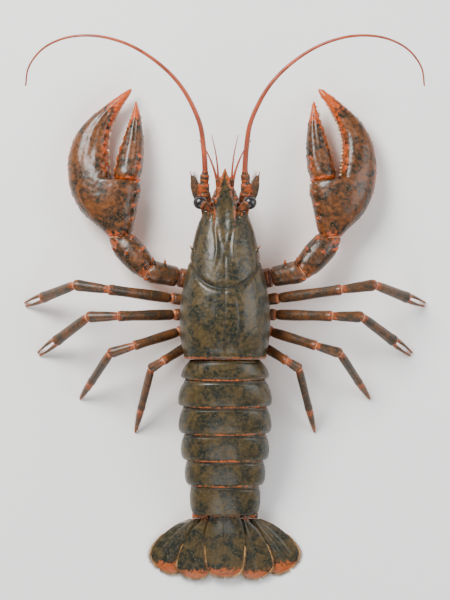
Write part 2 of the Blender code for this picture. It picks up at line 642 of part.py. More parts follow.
def finger_tube(start, toe, offset, size, along, spread):
    """A pointed finger that ends on a small flat on the floor."""
    stations = []
    for share, factor in ((0.0, 1.0), (0.3, 0.86), (0.62, 0.62), (0.88, 0.36), (1.0, 0.24)):
        bow = offset * (1 + spread * 0.12 * math.sin(math.pi * share) - 0.35 * share)
        centre = start.lerp(toe + Vector((0, 0, 0.5)), share) + bow
        stations.append((centre, max(size[0] * factor, 0.8), max(size[1] * factor, 0.8)))
    return tube(stations, along, along)


def claw_frame():
    """Wrist point and the claw's u, v and w directions, for the left claw."""
    wrist = Vector(WRIST)
    forwards = (Vector(CLAW_TIP) - wrist).normalized()
    inwards = Vector((0, 0, 1)).cross(forwards).normalized()
    if inwards.x > 0:
        inwards = -inwards
    upwards = inwards.cross(forwards)
    if upwards.z < 0:
        upwards = -upwards
    turned = inwards * math.cos(CLAW_ROLL) + upwards * math.sin(CLAW_ROLL)
    lifted = upwards * math.cos(CLAW_ROLL) - inwards * math.sin(CLAW_ROLL)
    return wrist, forwards, turned, lifted


def claw_point(u, v, w):
    wrist, forwards, inwards, upwards = claw_frame()
    return wrist + forwards * u + inwards * v + upwards * w


def claw_ring(u, outer, inner, half_thickness, sides=16):
    ring = []
    middle = (outer + inner) / 2
    half_width = (inner - outer) / 2
    for k in range(sides):
        c, s = rounded(2 * math.pi * k / sides, CLAW_SQUARENESS)
        ring.append(claw_point(u, middle + half_width * c, half_thickness * s))
    return ring


def finger_ring(u, outer, inner, half_thickness, sides=16):
    """A ring of the fixed finger, which keeps the palm's curve near the hinge."""
    ring = []
    middle = (outer + inner) / 2
    half_width = (inner - outer) / 2
    palm_inner = smooth(PALM_INNER_EDGE, HINGE_PLACE)
    palm_middle = (outer + palm_inner) / 2
    palm_half = (palm_inner - outer) / 2
    blend = smooth(FINGER_BLEND, u)
    for k in range(sides):
        c, s = rounded(2 * math.pi * k / sides, CLAW_SQUARENESS)
        v = middle + half_width * c
        across = min(1.0, abs(v - palm_middle) / palm_half)
        kept = (1 - across**CLAW_SQUARENESS) ** (1 / CLAW_SQUARENESS)
        kept *= (1 - max(c, 0.0) ** FINGER_CORNER) ** (1 / FINGER_CORNER)
        level = (1 - blend) * abs(s) + blend * kept
        ring.append(claw_point(u, v, half_thickness * math.copysign(level, s)))
    return ring


def bite_tooth(u, edge, reach, radius, blunt):
    """A tooth on a biting edge. It reaches towards the other finger, by reach along v."""
    root = claw_point(u, edge - reach * 0.9, 0)
    tip = claw_point(u, edge + reach, 0)
    if not blunt:
        return spine(root, tip, radius)
    axis = (tip - root).normalized()
    across = axis.orthogonal().normalized()
    up = across.cross(axis)
    rings = []
    for share, factor in ((0.0, 1.0), (0.55, 0.95), (0.85, 0.66), (1.0, 0.25)):
        rings.append(oval(root.lerp(tip, share), across, up, radius * factor, radius * factor, 6))
    return loft(rings)


def claw(side_name, side, width, thickness, blunt):
    """Palm with its fixed finger, and the thumb that closes on it."""
    rings = []
    for u in (0, 4, 11, 20, 30, 38, HINGE_PLACE):
        outer = smooth(CLAW_OUTER_EDGE, u) * (1 + (width - 1) * min(1, u / 20))
        rings.append(claw_ring(u + GAP / 2 * (u == 0), outer, smooth(PALM_INNER_EDGE, u),
                               smooth(CLAW_HALF_THICKNESS, u) * (1 + (thickness - 1) * min(1, u / 20))))
    for u in (HINGE_PLACE + 0.05, 47, 53, 61, 70, 80, 90, 99, 106, CLAW_LENGTH):
        outer = smooth(CLAW_OUTER_EDGE, u) * (1 + (width - 1) * min(1, (CLAW_LENGTH - u) / 30))
        rings.append(finger_ring(u, outer, smooth(FINGER_BITE_EDGE, u),
                                 smooth(CLAW_HALF_THICKNESS, u) * thickness))
    palm = [loft(rings)]
    row = [(HINGE_PLACE + 4 + CUTTER_TOOTH_SPACING * k, CUTTER_TOOTH_REACH) for k in range(CUTTER_TEETH)]
    cutter = [(u, reach, 0.9 * reach) for u, reach in row]
    for u, reach, radius in CRUSHER_FINGER_TEETH if blunt else cutter:
        palm.append(bite_tooth(u, smooth(FINGER_BITE_EDGE, u), reach, radius, blunt))
    for u in PALM_SPINES:
        edge = smooth(PALM_INNER_EDGE, u)
        palm.append(spine(claw_point(u, edge - 3.0, 5.5), claw_point(u + 3.0, edge + 2.6, 9.6), 1.9))
    add_node("claw_palm_" + side_name, palm, CLAW, WRIST, side)
    rings = []
    for u in (HINGE_PLACE + GAP, 43.8, 46, 53, 61, 69, 77, 85, 92, 97.5, THUMB_END):
        rings.append(claw_ring(u, smooth(THUMB_BITE_EDGE, u), smooth(THUMB_OUTER_EDGE, u),
                               smooth(THUMB_HALF_THICKNESS, u) * thickness, 12))
    thumb = [loft(rings)]
    for u, reach, radius in CRUSHER_THUMB_TEETH if blunt else cutter[1:]:
        place = u + (0 if blunt else CUTTER_TOOTH_SPACING / -2)
        thumb.append(bite_tooth(place, smooth(THUMB_BITE_EDGE, place), -reach, radius, blunt))
    for u in THUMB_SPINES:
        edge = smooth(THUMB_OUTER_EDGE, u)
        thumb.append(spine(claw_point(u, edge - 3.0, 4.0), claw_point(u + 2.6, edge + 1.6, 7.8), 1.6))
    hinge = claw_point(HINGE_PLACE, 4, 0)
    add_node("claw_thumb_" + side_name, thumb, CLAW, hinge, side)


def claw_arm(root, direction, root_size):
    arm_end = Vector(ARM_END)
    wrist = Vector(WRIST)
    start = root + direction * (GAP / 2)
    ischium_end = root.lerp(arm_end, 0.34)
    arm = [(start, *root_size)]
    arm += segment(start, ischium_end, root_size, ARM_SIZE, ((0.5, 1.0), (0.95, 0.93)))
    arm += segment(ischium_end, arm_end, ARM_SIZE, ARM_SIZE, ((0.14, 0.98), (0.5, 1.04), (0.86, 1.12)))
    cut = (wrist - ischium_end).normalized()
    arm.append((arm_end - cut * (GAP / 2), ARM_SIZE[0] * 0.9, ARM_SIZE[1] * 0.88))
    add_pair("claw_arm", [tube(arm, direction, cut, 12)] + thorns(ARM_SPINES), LIMB, root)
    _, forwards, _, _ = claw_frame()
    carpus = [(arm_end + cut * (GAP / 2), ARM_SIZE[0] * 0.9, ARM_SIZE[1] * 0.88)]
    carpus += segment(arm_end, wrist, (9.0, 8.6), (10.2, 9.2), ((0.22, 1.02), (0.5, 1.08), (0.8, 1.0)))
    carpus.append((wrist - forwards * (GAP / 2), *WRIST_SIZE))
    add_pair("claw_wrist", [tube(carpus, cut, forwards, 12)] + thorns(WRIST_SPINES), CLAW, arm_end)


def eyes():
    root = Vector(EYE_ROOT)
    centre = Vector(EYE_CENTRE)
    away = (centre - root).normalized()
    forwards = Vector((0, -1, 0))
    neck = 0.9 * EYE_STALK_RADIUS
    stations = [(root, EYE_STALK_RADIUS, EYE_STALK_RADIUS), (root.lerp(centre, 0.42), neck, neck)]
    for turn in (-52, -25, 5, 35, 62, 82):
        angle = math.radians(turn)
        across = EYE_RADIUS * math.cos(angle)
        stations.append((centre + away * (EYE_RADIUS * math.sin(angle)), across, across))
    add_pair("eye", [tube(stations, forwards, away, 12)], EYE, root)


def antennas():
    forwards = Vector((0, -1, 0))
    flagellum_root = Vector(ANTENNA_COURSE[0])
    leave = (Vector(ANTENNA_COURSE[1]) - flagellum_root).normalized()
    stations = stations_of(ANTENNA_BASE_SHAPE)
    stations.append((flagellum_root - leave * (GAP / 2), ANTENNA_ROOT_RADIUS, ANTENNA_ROOT_RADIUS))
    pieces = [tube(stations, forwards, leave), tube(stations_of(ANTENNA_SCALE_SHAPE))]
    add_pair("antenna_base", pieces + thorns([ANTENNA_BASE_SPINE]), LIMB, ANTENNA_BASE_SHAPE[0][0])
    length_table = antenna_lengths()
    total = length_table[-1][0]
    for number in range(3):
        start = total * ANTENNA_SHARES[number]
        end = total * ANTENNA_SHARES[number + 1]
        count = max(4, round((end - start) / 8.0))
        run = []
        for k in range(count + 1):
            trim = GAP / 2 if k == 0 else (-GAP / 2 if k == count and number < 2 else 0.0)
            place = start + (end - start) * k / count + trim
            radius = ANTENNA_ROOT_RADIUS + (ANTENNA_TIP_RADIUS - ANTENNA_ROOT_RADIUS) * (place / total) ** 0.8
            run.append((antenna_point(place), radius, radius))
        turn_in = antenna_point(start + 0.5) - antenna_point(max(start - 0.5, 0.0))
        turn_out = antenna_point(min(end + 0.5, total)) - antenna_point(end - 0.5)
        if number == 0:
            turn_in = leave
        add_pair(f"antenna_{number + 1}", [tube(run, turn_in, turn_out)], ANTENNA, run[0][0])


def antenna_curve():
    """Closely spaced points on a smooth curve through the antenna's course."""
    tables = []
    for axis in range(3):
        tables.append([(k, point[axis]) for k, point in enumerate(ANTENNA_COURSE)])
    steps = 10 * (len(ANTENNA_COURSE) - 1)
    return [Vector([smooth(table, k / 10) for table in tables]) for k in range(steps + 1)]


def antenna_lengths():
    points = antenna_curve()
    run = [(0.0, points[0])]
    for a, b in zip(points, points[1:]):
        run.append((run[-1][0] + (b - a).length, b))
    return run


def antenna_point(place):
    run = antenna_lengths()
    for (p0, a), (p1, b) in zip(run, run[1:]):
        if place <= p1:
            return a.lerp(b, (place - p0) / (p1 - p0))
    return run[-1][1].copy()


def antennules():
    pieces = [tube(stations_of(ANTENNULE_STALK), Vector((0, -1, 0)))]
    pieces += [tube(stations_of(table), sides=6) for table in (ANTENNULE_INNER, ANTENNULE_OUTER)]
    add_pair("antennule", pieces, ANTENNA, ANTENNULE_STALK[0][0])


def maxillipeds():
    forwards = Vector((0, -1, 0))
    root = Vector(MAXILLIPED_ROOT) + forwards * (GAP / 2)
    stations = [(root, *MAXILLIPED_SIZE)] + stations_of(MAXILLIPED_SHAPE)
    add_pair("maxilliped", [tube(stations, forwards)], LIMB, root)


for leftover in list(bpy.data.objects):
    bpy.data.objects.remove(leftover)

ANIMAL = bpy.data.objects.new("lobster", None)
bpy.context.scene.collection.objects.link(ANIMAL)
SHELL = paint("shell", SHELL_COLOUR)
CLAW = paint("claw shell", CLAW_COLOUR)
UNDERSIDE = paint("underside", UNDERSIDE_COLOUR)
LIMB = paint("limb shell", LIMB_COLOUR)
ANTENNA = paint("antenna", ANTENNA_COLOUR)
EYE = paint("eye", EYE_COLOUR, 0.12)

carapace()
thorax()
for segment_number in range(1, 7):
    abdomen_segment(segment_number)
tail_fan()
limbs = limb_roots()
claw_arm(*limbs[0])
claw("left", 1, CRUSHER_WIDTH, CRUSHER_THICKNESS, True)
claw("right", -1, CUTTER_WIDTH, CUTTER_THICKNESS, False)
for leg_number, (leg, limb) in enumerate(zip(WALKING_LEGS, limbs[1:]), 1):
    walking_leg(leg_number, leg, *limb)
eyes()
antennas()
antennules()
maxillipeds()
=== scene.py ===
# %% [markdown]
# # A life-size lobster, finished as a museum model
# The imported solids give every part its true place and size. They are loaded first and never moved. Each one
# is then replaced by a finer skin of the same form, which starts from the same named sizes.

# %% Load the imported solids
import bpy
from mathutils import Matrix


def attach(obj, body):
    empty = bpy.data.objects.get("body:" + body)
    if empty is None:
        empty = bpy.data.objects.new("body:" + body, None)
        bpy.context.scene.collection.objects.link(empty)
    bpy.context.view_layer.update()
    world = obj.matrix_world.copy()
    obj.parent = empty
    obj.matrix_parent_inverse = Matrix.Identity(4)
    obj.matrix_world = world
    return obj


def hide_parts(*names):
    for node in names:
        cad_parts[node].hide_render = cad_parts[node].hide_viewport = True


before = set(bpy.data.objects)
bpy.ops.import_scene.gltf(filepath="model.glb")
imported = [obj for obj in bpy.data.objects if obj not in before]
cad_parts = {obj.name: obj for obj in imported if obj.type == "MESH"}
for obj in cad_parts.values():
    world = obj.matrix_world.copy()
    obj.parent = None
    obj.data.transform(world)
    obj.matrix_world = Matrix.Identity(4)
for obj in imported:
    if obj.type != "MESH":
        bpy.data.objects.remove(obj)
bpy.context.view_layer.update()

# %% Units, sides and new objects
import math

import bpy
import numpy as np
from mathutils import Matrix, Vector, noise

MM = 0.001
ORIGIN_BEHIND_TIP = 101.7
GAP = 0.3
SIDES = {"left": 1, "right": -1}
scene = bpy.context.scene


def add_object(name, data):
    """A new object, put in the scene."""
    made = bpy.data.objects.new(name, data)
    scene.collection.objects.link(made)
    return made


print("units: millimetres, sides:", list(SIDES))


# %% [markdown]
# ## Camera and light
# The drawing looks straight down on the animal, with no perspective at all. A camera very far away with a
# very long lens gives nearly parallel rays, so each part lands where the drawing has it. A large soft light
# from one side and a weaker one from the other show the curve of the shell without hard shadows.

# %% Camera straight above
FRAME_HEIGHT = 0.439
FRAME_CENTRE = (0.0, -0.0051)
CAMERA_HEIGHT = 9.0
SUBJECT_LEVEL = 0.04
SENSOR_WIDTH = 36.0
camera = add_object("camera", bpy.data.cameras.new("camera"))
camera.data.sensor_width = SENSOR_WIDTH
camera.data.lens = SENSOR_WIDTH * (CAMERA_HEIGHT - SUBJECT_LEVEL) / FRAME_HEIGHT
camera.data.clip_end = 60.0
camera.location = (*FRAME_CENTRE, CAMERA_HEIGHT)
camera.rotation_euler = (0.0, 0.0, math.pi)
scene.camera = camera
print("lens", round(camera.data.lens, 1), "mm")


# %% Studio lights
def softbox(name, place, size, power, colour=(1.0, 1.0, 1.0)):
    """A square light that faces the animal."""
    light = bpy.data.lights.new(name, "AREA")
    light.size = size
    light.energy = power
    light.color = colour
    lamp = add_object(name, light)
    lamp.location = place
    lamp.rotation_mode = "QUATERNION"
    lamp.rotation_quaternion = Vector(place).to_track_quat("Z", "Y")


softbox("main light", (0.8, -1.0, 1.3), 0.8, 62.0, (1.0, 0.985, 0.96))
softbox("fill light", (-1.4, -0.2, 1.0), 1.2, 20.0, (0.95, 0.975, 1.0))
softbox("back light", (0.1, 1.5, 1.1), 1.0, 12.0)
world = bpy.data.worlds.new("studio")
world.use_nodes = True
sky = world.node_tree.nodes["Background"].inputs
sky["Color"].default_value = (0.93, 0.945, 0.96, 1)
sky["Strength"].default_value = 0.45
scene.world = world


# %% [markdown]
# ## Finishes
# A live lobster's shell is nearly black-green to brown above, mottled in patches the size of a fingernail and
# flecked with small pale and blue dots. Rims, spine tips and joints turn orange-red, and everything that
# faces the ground fades to pale orange. One shared pattern, a node group, gives patches, flecks and pits.
# Each finish places it with its own colours. Three values stored on every point of a mesh say where the rims,
# the undersides and the grooves are: warm, pale and painted shade, which darkens grooves and recesses. So the
# colours follow the form from every side.

# %% A shorthand for shader and geometry nodes
def node(tree, kind, values=None, **settings):
    """A new node with its inputs set to numbers or linked to other nodes' outputs."""
    made = tree.nodes.new(kind)
    for name, value in settings.items():
        setattr(made, name, value)
    for key, value in (values or {}).items():
        if isinstance(value, bpy.types.NodeSocket):
            tree.links.new(value, made.inputs[key])
        else:
            made.inputs[key].default_value = value
    return made


def output(tree, kind, values=None, **settings):
    """The first output of such a node."""
    return node(tree, kind, values, **settings).outputs[0]


def sums(tree, operation, *values):
    return output(tree, "ShaderNodeMath", dict(enumerate(values)), operation=operation)


def remap(tree, value, low, high, to_low=0.0, to_high=1.0):
    """A smooth ramp of a value between two limits."""
    values = {0: value, 1: low, 2: high, 3: to_low, 4: to_high}
    return output(tree, "ShaderNodeMapRange", values, interpolation_type="SMOOTHSTEP")


def mixed(tree, share, *colours):
    """A blend of two colours, each three numbers or another node's output."""
    first, second = (c if isinstance(c, bpy.types.NodeSocket) else (*c, 1) for c in colours)
    return node(tree, "ShaderNodeMix", {0: share, 6: first, 7: second}, data_type="RGBA").outputs[2]


print("shorthands:", [helper.__name__ for helper in (node, output, sums, remap, mixed)])


# %% The shell pattern that most finishes share
def new_group(name, inputs, outputs):
    """An empty shader group with its sockets."""
    group = bpy.data.node_groups.new(name, "ShaderNodeTree")
    for label, kind in inputs:
        group.interface.new_socket(label, in_out="INPUT", socket_type="NodeSocket" + kind)
    for label in outputs:
        group.interface.new_socket(label, in_out="OUTPUT", socket_type="NodeSocketFloat")
    return group, group.nodes.new("NodeGroupInput").outputs, group.nodes.new("NodeGroupOutput").inputs


PATTERN, given, made = new_group(
    "shell pattern", (("Where", "Vector"), ("Patch size", "Float"), ("Fleck size", "Float")),
    ("Patches", "Mottle", "Flecks", "Pits"))
patch_scale = sums(PATTERN, "DIVIDE", 1.0, given["Patch size"])
fleck_scale = sums(PATTERN, "DIVIDE", 1.0, given["Fleck size"])
large = output(PATTERN, "ShaderNodeTexNoise", {
    "Vector": given["Where"], "Scale": patch_scale, "Detail": 5.0, "Roughness": 0.62, "Distortion": 0.7})
small = output(PATTERN, "ShaderNodeTexNoise", {
    "Vector": given["Where"], "Scale": sums(PATTERN, "MULTIPLY", patch_scale, 4.5), "Detail": 4.0,
    "Roughness": 0.6, "Distortion": 0.3})
spots = output(PATTERN, "ShaderNodeTexVoronoi", {"Vector": given["Where"], "Scale": fleck_scale})
grains = output(PATTERN, "ShaderNodeTexVoronoi", {
    "Vector": given["Where"], "Scale": sums(PATTERN, "MULTIPLY", fleck_scale, 2.8)})
crowd = remap(PATTERN, large, 0.36, 0.5, 1.0, 0.25)
dots = remap(PATTERN, sums(PATTERN, "MULTIPLY_ADD", small, 0.5, spots), 0.34, 0.56, 1.0, 0.0)
pit = remap(PATTERN, grains, 0.1, 0.5)
for label, value in (
        ("Patches", remap(PATTERN, large, 0.42, 0.6)), ("Mottle", remap(PATTERN, small, 0.4, 0.64)),
        ("Flecks", sums(PATTERN, "MULTIPLY", dots, crowd)),
        ("Pits", sums(PATTERN, "MULTIPLY_ADD", small, 0.35, pit))):
    PATTERN.links.new(value, made[label])
print("pattern nodes:", len(PATTERN.nodes))


# %% Shell finishes
def carried(tree, label):
    """A value that each point of a piece carries."""
    return node(tree, "ShaderNodeAttribute", attribute_name=label).outputs["Fac"]


def new_material(name, coat, coat_rough):
    """A material, its tree, its shader's inputs and the place of each point."""
    material = bpy.data.materials.new(name)
    material.use_nodes = True
    tree = material.node_tree
    inputs = tree.nodes["Principled BSDF"].inputs
    inputs["Coat Weight"].default_value = coat
    inputs["Coat Roughness"].default_value = coat_rough
    return material, tree, inputs, node(tree, "ShaderNodeTexCoord").outputs["Object"]


def connect(tree, inputs, colour, rough, height, strength, distance):
    """Gives a shader its colour, its roughness and a bump made from heights."""
    bump = output(tree, "ShaderNodeBump", {"Height": height, "Strength": strength, "Distance": distance})
    for label, value in (("Base Color", colour), ("Roughness", rough), ("Normal", bump)):
        tree.links.new(value, inputs[label])


def shell_finish(name, dark, mid, fleck, warm, pale, patch=0.011, dot=0.0021, rough=0.3, coat=0.12, pits=0.13,
                 broken=0.7):
    """A mottled, flecked shell that turns warm at its rims and pale underneath, with painted shade in its
    grooves and recesses.
    """
    material, tree, inputs, where = new_material(name, coat, 0.16)
    inputs["Specular IOR Level"].default_value = 0.34
    values = {"Where": where, "Patch size": patch, "Fleck size": dot}
    patches, mottle, flecks, height = node(tree, "ShaderNodeGroup", values, node_tree=PATTERN).outputs
    warmth, paleness, depth = (carried(tree, label) for label in ("warm", "pale", "deep"))
    share = sums(tree, "MULTIPLY_ADD", mottle, 0.45, sums(tree, "MULTIPLY", patches, 0.6))
    colour = mixed(tree, share, dark, mid)
    colour = mixed(tree, sums(tree, "MULTIPLY", flecks, 0.55), colour, fleck)
    uneven = sums(tree, "MULTIPLY_ADD", mottle, broken, sums(tree, "SUBTRACT", warmth, broken / 2))
    warm_mask = sums(tree, "MULTIPLY", remap(tree, uneven, 0.0, 0.75), remap(tree, warmth, 0.02, 0.5))
    colour = mixed(tree, warm_mask, colour, warm)
    ragged = sums(tree, "MULTIPLY_ADD", mottle, 0.35, sums(tree, "SUBTRACT", paleness, 0.2))
    pale_mask = sums(tree, "MULTIPLY", remap(tree, ragged, 0.1, 0.75), remap(tree, paleness, 0.02, 0.3))
    cloud = sums(tree, "MULTIPLY_ADD", patches, 0.25, sums(tree, "MULTIPLY", mottle, 0.3))
    colour = mixed(tree, pale_mask, colour, mixed(tree, cloud, pale, warm))
    # painted shade: grooves and recesses darken towards a third of the dark colour
    colour = mixed(tree, sums(tree, "MULTIPLY", depth, 0.72), colour, [0.35 * c for c in dark])
    dull = sums(tree, "MULTIPLY_ADD", mottle, 0.16, sums(tree, "MULTIPLY_ADD", depth, 0.25, rough))
    connect(tree, inputs, colour, dull, height, pits, 0.0006)
    return material


SHELL = shell_finish("body shell", (0.006, 0.0095, 0.0065), (0.072, 0.046, 0.014), (0.17, 0.15, 0.06),
                     (0.33, 0.07, 0.013), (0.60, 0.26, 0.09))
CLAW = shell_finish("claw shell", (0.010, 0.011, 0.007), (0.15, 0.048, 0.012), (0.26, 0.16, 0.055),
                    (0.47, 0.075, 0.010), (0.62, 0.22, 0.065), patch=0.013, rough=0.28, coat=0.14, pits=0.1)
LIMB = shell_finish("limb shell", (0.022, 0.021, 0.014), (0.125, 0.047, 0.014), (0.06, 0.10, 0.11),
                    (0.36, 0.068, 0.013), (0.60, 0.24, 0.08), patch=0.008, dot=0.0016, broken=0.42)
BELLY = shell_finish("underside", (0.34, 0.13, 0.05), (0.62, 0.33, 0.16), (0.30, 0.12, 0.06),
                     (0.50, 0.13, 0.03), (0.66, 0.40, 0.22), patch=0.009, rough=0.36)
print("finishes:", [m.name for m in (SHELL, CLAW, LIMB, BELLY)])


# %% Softer and harder finishes
def plain_finish(name, low, high, size, rough, coat=0.0, bump=0.1, grain=0.0004, banded=False):
    """Two close colours, mixed by a fine noise, or by the stored rings of a feeler."""
    material, tree, inputs, where = new_material(name, coat, 0.08)
    cloud = output(tree, "ShaderNodeTexNoise", {"Vector": where, "Scale": 1 / size, "Detail": 4.0})
    share = remap(tree, cloud, 0.38, 0.64)
    if banded:
        share = sums(tree, "MULTIPLY_ADD", carried(tree, "ring"), 0.6, sums(tree, "MULTIPLY", share, 0.5))
    dull = sums(tree, "MULTIPLY_ADD", cloud, 0.12, rough - 0.06)
    fine = output(tree, "ShaderNodeTexNoise", {"Vector": where, "Scale": 1 / grain, "Detail": 2.0})
    connect(tree, inputs, mixed(tree, share, low, high), dull, fine, bump, 0.0004)
    return material


FEELER = plain_finish("feeler", (0.16, 0.022, 0.008), (0.46, 0.075, 0.018), 0.012, 0.34, 0.2, banded=True)
EYE = plain_finish("cornea", (0.002, 0.002, 0.003), (0.012, 0.008, 0.007), 0.002, 0.24, 0.3, 0.22, 0.00018)
TOOTH = plain_finish("claw tooth", (0.50, 0.29, 0.13), (0.78, 0.62, 0.40), 0.0035, 0.34, 0.15)
SKIN = plain_finish("joint skin", (0.36, 0.10, 0.035), (0.56, 0.22, 0.085), 0.004, 0.45, 0.1, 0.4, 0.0007)
BRISTLE = plain_finish("bristles", (0.16, 0.075, 0.025), (0.42, 0.23, 0.085), 0.006, 0.5)
FLOOR = plain_finish("floor", (0.86, 0.86, 0.85), (0.89, 0.89, 0.88), 0.4, 0.75, 0.0, 0.02, 0.002)
print("finishes:", [m.name for m in (FEELER, EYE, TOOTH, SKIN, BRISTLE, FLOOR)])

# %% A pale floor
FLOOR_REACH = 5.0
ground = bpy.data.meshes.new("floor")
corners = [(x * FLOOR_REACH, y * FLOOR_REACH, 0) for x, y in ((-1, -1), (1, -1), (1, 1), (-1, 1))]
ground.from_pydata(corners, [], [(0, 1, 2, 3)])
ground.materials.append(FLOOR)
add_object("floor", ground)
print("floor:", 2 * FLOOR_REACH, "m wide")


# %% [markdown]
# ## How a skin is made
# Nearly every part of a lobster is a shell whose cross-section changes smoothly along it. So a part is drawn
# as rows of points round it, from one end to the other, at sizes read from smooth curves. Sizes are in
# millimetres, with x outwards, y counted back from the rostrum's tip and z up from the floor. Where several
# forms grow out of one shell, such as spines from a claw, a voxel remesh fuses them and a little smoothing
# rounds the creases between them, which a plain union would leave sharp.

# %% Curves and small sums
def vec(*values):
    return np.array(values, float)


def unit(vectors):
    return vectors / np.maximum(np.linalg.norm(vectors, axis=-1, keepdims=True), 1e-12)


def ramp(low, high, values):
    """0 below low, 1 above high and smooth between them."""
    t = np.clip((values - low) / (high - low), 0.0, 1.0)
    return t * t * (3 - 2 * t)


def bell(values, middle, width):
    """1 at the middle, fading on both sides."""
    return np.exp(-(((values - middle) / width) ** 2))


def window(values, rise, start, end, fall):
    """1 from start to end, fading to 0 at rise and at fall."""
    return ramp(rise, start, values) * ramp(fall, end, values)


print("a ramp from 2 to 4, at 1, 3 and 5:", ramp(2, 4, vec(1, 3, 5)))


# %% Smooth curves
def smooth(table, places):
    """Values at places on a smooth curve through (place, value) pairs."""
    p, v = np.asarray(table, float)[:, :2].T
    slope = np.empty(len(p))
    slope[1:-1] = (v[2:] - v[:-2]) / (p[2:] - p[:-2])
    slope[0] = (v[1] - v[0]) / (p[1] - p[0])
    slope[-1] = (v[-1] - v[-2]) / (p[-1] - p[-2])
    x = np.clip(places, p[0], p[-1])
    k = np.clip(np.searchsorted(p, x, side="right") - 1, 0, len(p) - 2)
    span = p[k + 1] - p[k]
    t = (x - p[k]) / span
    return ((2 * t**3 - 3 * t**2 + 1) * v[k] + (t**3 - 2 * t**2 + t) * span * slope[k]
            + (3 * t**2 - 2 * t**3) * v[k + 1] + (t**3 - t**2) * span * slope[k + 1])


def rounded(angle, power):
    """Cosine and sine of an angle, bent towards a square for powers over 2."""
    c, s = np.cos(angle), np.sin(angle)
    return np.sign(c) * np.abs(c) ** (2 / power), np.sign(s) * np.abs(s) ** (2 / power)


def full_turn(count, power):
    """Rounded cosines and sines at even steps round a full turn."""
    return rounded(np.linspace(0, 2 * math.pi, count, endpoint=False), power)


def through(knots, steps):
    """A smooth line through knots, for many rows at once: (rows, knots, 3) in, (rows, points, 3) out."""
    before = 2 * knots[:, :1] - knots[:, 1:2]
    after = 2 * knots[:, -1:] - knots[:, -2:-1]
    k = np.concatenate([before, knots, after], axis=1)
    t = (np.arange(steps) / steps)[None, :, None]
    runs = []
    for at in range(knots.shape[1] - 1):
        a, b, c, d = (k[:, at + j, None] for j in range(4))
        runs.append(0.5 * (2 * b + (c - a) * t + (2 * a - 5 * b + 4 * c - d) * t**2
                           + (3 * b - a - 3 * c + d) * t**3))
    return np.concatenate(runs, axis=1)


def curve(knots, steps):
    """A smooth line through one row of knots."""
    return through(np.array([knots], float), steps)[0]


print("a curve over 0, 1 and 0, halfway up:", smooth(((0, 0), (1, 1), (2, 0)), 0.5))


# %% Along lines
def lengths_along(line):
    """How far along a line each of its points is."""
    return np.concatenate([[0.0], np.cumsum(np.linalg.norm(np.diff(line, axis=0), axis=1))])


def nearest(points, line):
    """For each point, the number of the line's nearest point."""
    return np.argmin(np.linalg.norm(points[:, None] - line[None], axis=2), axis=1)


def halfway(first, joint, last):
    """The direction halfway between those of two limbs that meet in a joint."""
    return unit(unit(joint - first) + unit(last - joint))


print("lengths along strokes of 3 and 4 mm:", lengths_along(np.array([(0, 0), (3, 0), (3, 4)])))

# %% Closed skins from rows of points
NO_TRIANGLES = np.zeros((0, 3), int)


def triangles(faces):
    quads, threes = faces
    return np.concatenate([quads[:, [0, 1, 2]], quads[:, [0, 2, 3]], threes])


def outward(piece):
    """The same piece with its faces turned outwards."""
    points, faces = piece
    a, b, c = points[triangles(faces)].transpose(1, 0, 2)
    if np.einsum("ij,ij->i", a, np.cross(b, c)).sum() < 0:
        faces = [block[:, ::-1] for block in faces]
    return points, faces


def skin(grid):
    """A closed skin over rows of points that run round a part."""
    rows, count = grid.shape[:2]
    here = np.arange(rows * count).reshape(rows, count)
    beside = np.roll(here, -1, axis=1)
    quads = np.stack([here[:-1], beside[:-1], beside[1:], here[1:]], axis=-1).reshape(-1, 4)
    points = np.concatenate([grid.reshape(-1, 3), grid[:1].mean(axis=1), grid[-1:].mean(axis=1)])
    first = np.stack([beside[0], here[0], np.full(count, rows * count)], axis=1)
    last = np.stack([here[-1], beside[-1], np.full(count, rows * count + 1)], axis=1)
    return outward((points, [quads, np.concatenate([first, last])]))


# %% Joined, mirrored and raised skins
def join(pieces):
    """Several pieces as one."""
    places, quads, threes, count = [], [], [], 0
    for points, faces in pieces:
        places.append(points)
        quads.append(faces[0] + count)
        threes.append(faces[1] + count)
        count += len(points)
    return np.concatenate(places), [np.concatenate(quads), np.concatenate(threes)]


def mirrored(piece):
    points, faces = piece
    return points * vec(-1, 1, 1), [block[:, ::-1] for block in faces]


def normals(piece):
    points, faces = piece
    corners = triangles(faces)
    a, b, c = points[corners].transpose(1, 0, 2)
    flat = np.cross(b - a, c - a)
    total = np.zeros_like(points)
    for k in range(3):
        np.add.at(total, corners[:, k], flat)
    return unit(total)


def wobble(points, size, seed=0.0):
    """Smooth random values of about -1 to 1 at each point, in waves of the given size."""
    return np.array([noise.noise(Vector(p)) for p in points / size + seed])


def raised(piece, heights):
    """The piece with each point moved out by its own height."""
    return piece[0] + normals(piece) * heights[:, None], piece[1]


# %% Fusing several forms into one skin
def mesh_of(name, piece):
    points, faces = piece
    mesh = bpy.data.meshes.new(name)
    mesh.from_pydata(points.tolist(), [], faces[0].tolist() + faces[1].tolist())
    return mesh


def fused(pieces, voxel, relax):
    """One skin over all the pieces, with its creases rounded."""
    body = add_object("fusing", mesh_of("fusing", join(pieces)))
    grow = body.modifiers.new("one skin", "REMESH")
    grow.mode = "VOXEL"
    grow.voxel_size = voxel
    ease = body.modifiers.new("rounded creases", "SMOOTH")
    ease.factor = 0.5
    ease.iterations = relax
    graph = bpy.context.evaluated_depsgraph_get()
    mesh = body.evaluated_get(graph).to_mesh()
    points = np.empty(len(mesh.vertices) * 3)
    mesh.vertices.foreach_get("co", points)
    corners = np.empty(len(mesh.loops), int)
    mesh.loops.foreach_get("vertex_index", corners)
    piece = outward((points.reshape(-1, 3), [corners.reshape(-1, 4), NO_TRIANGLES]))
    body.evaluated_get(graph).to_mesh_clear()
    bpy.data.meshes.remove(body.data)
    return piece


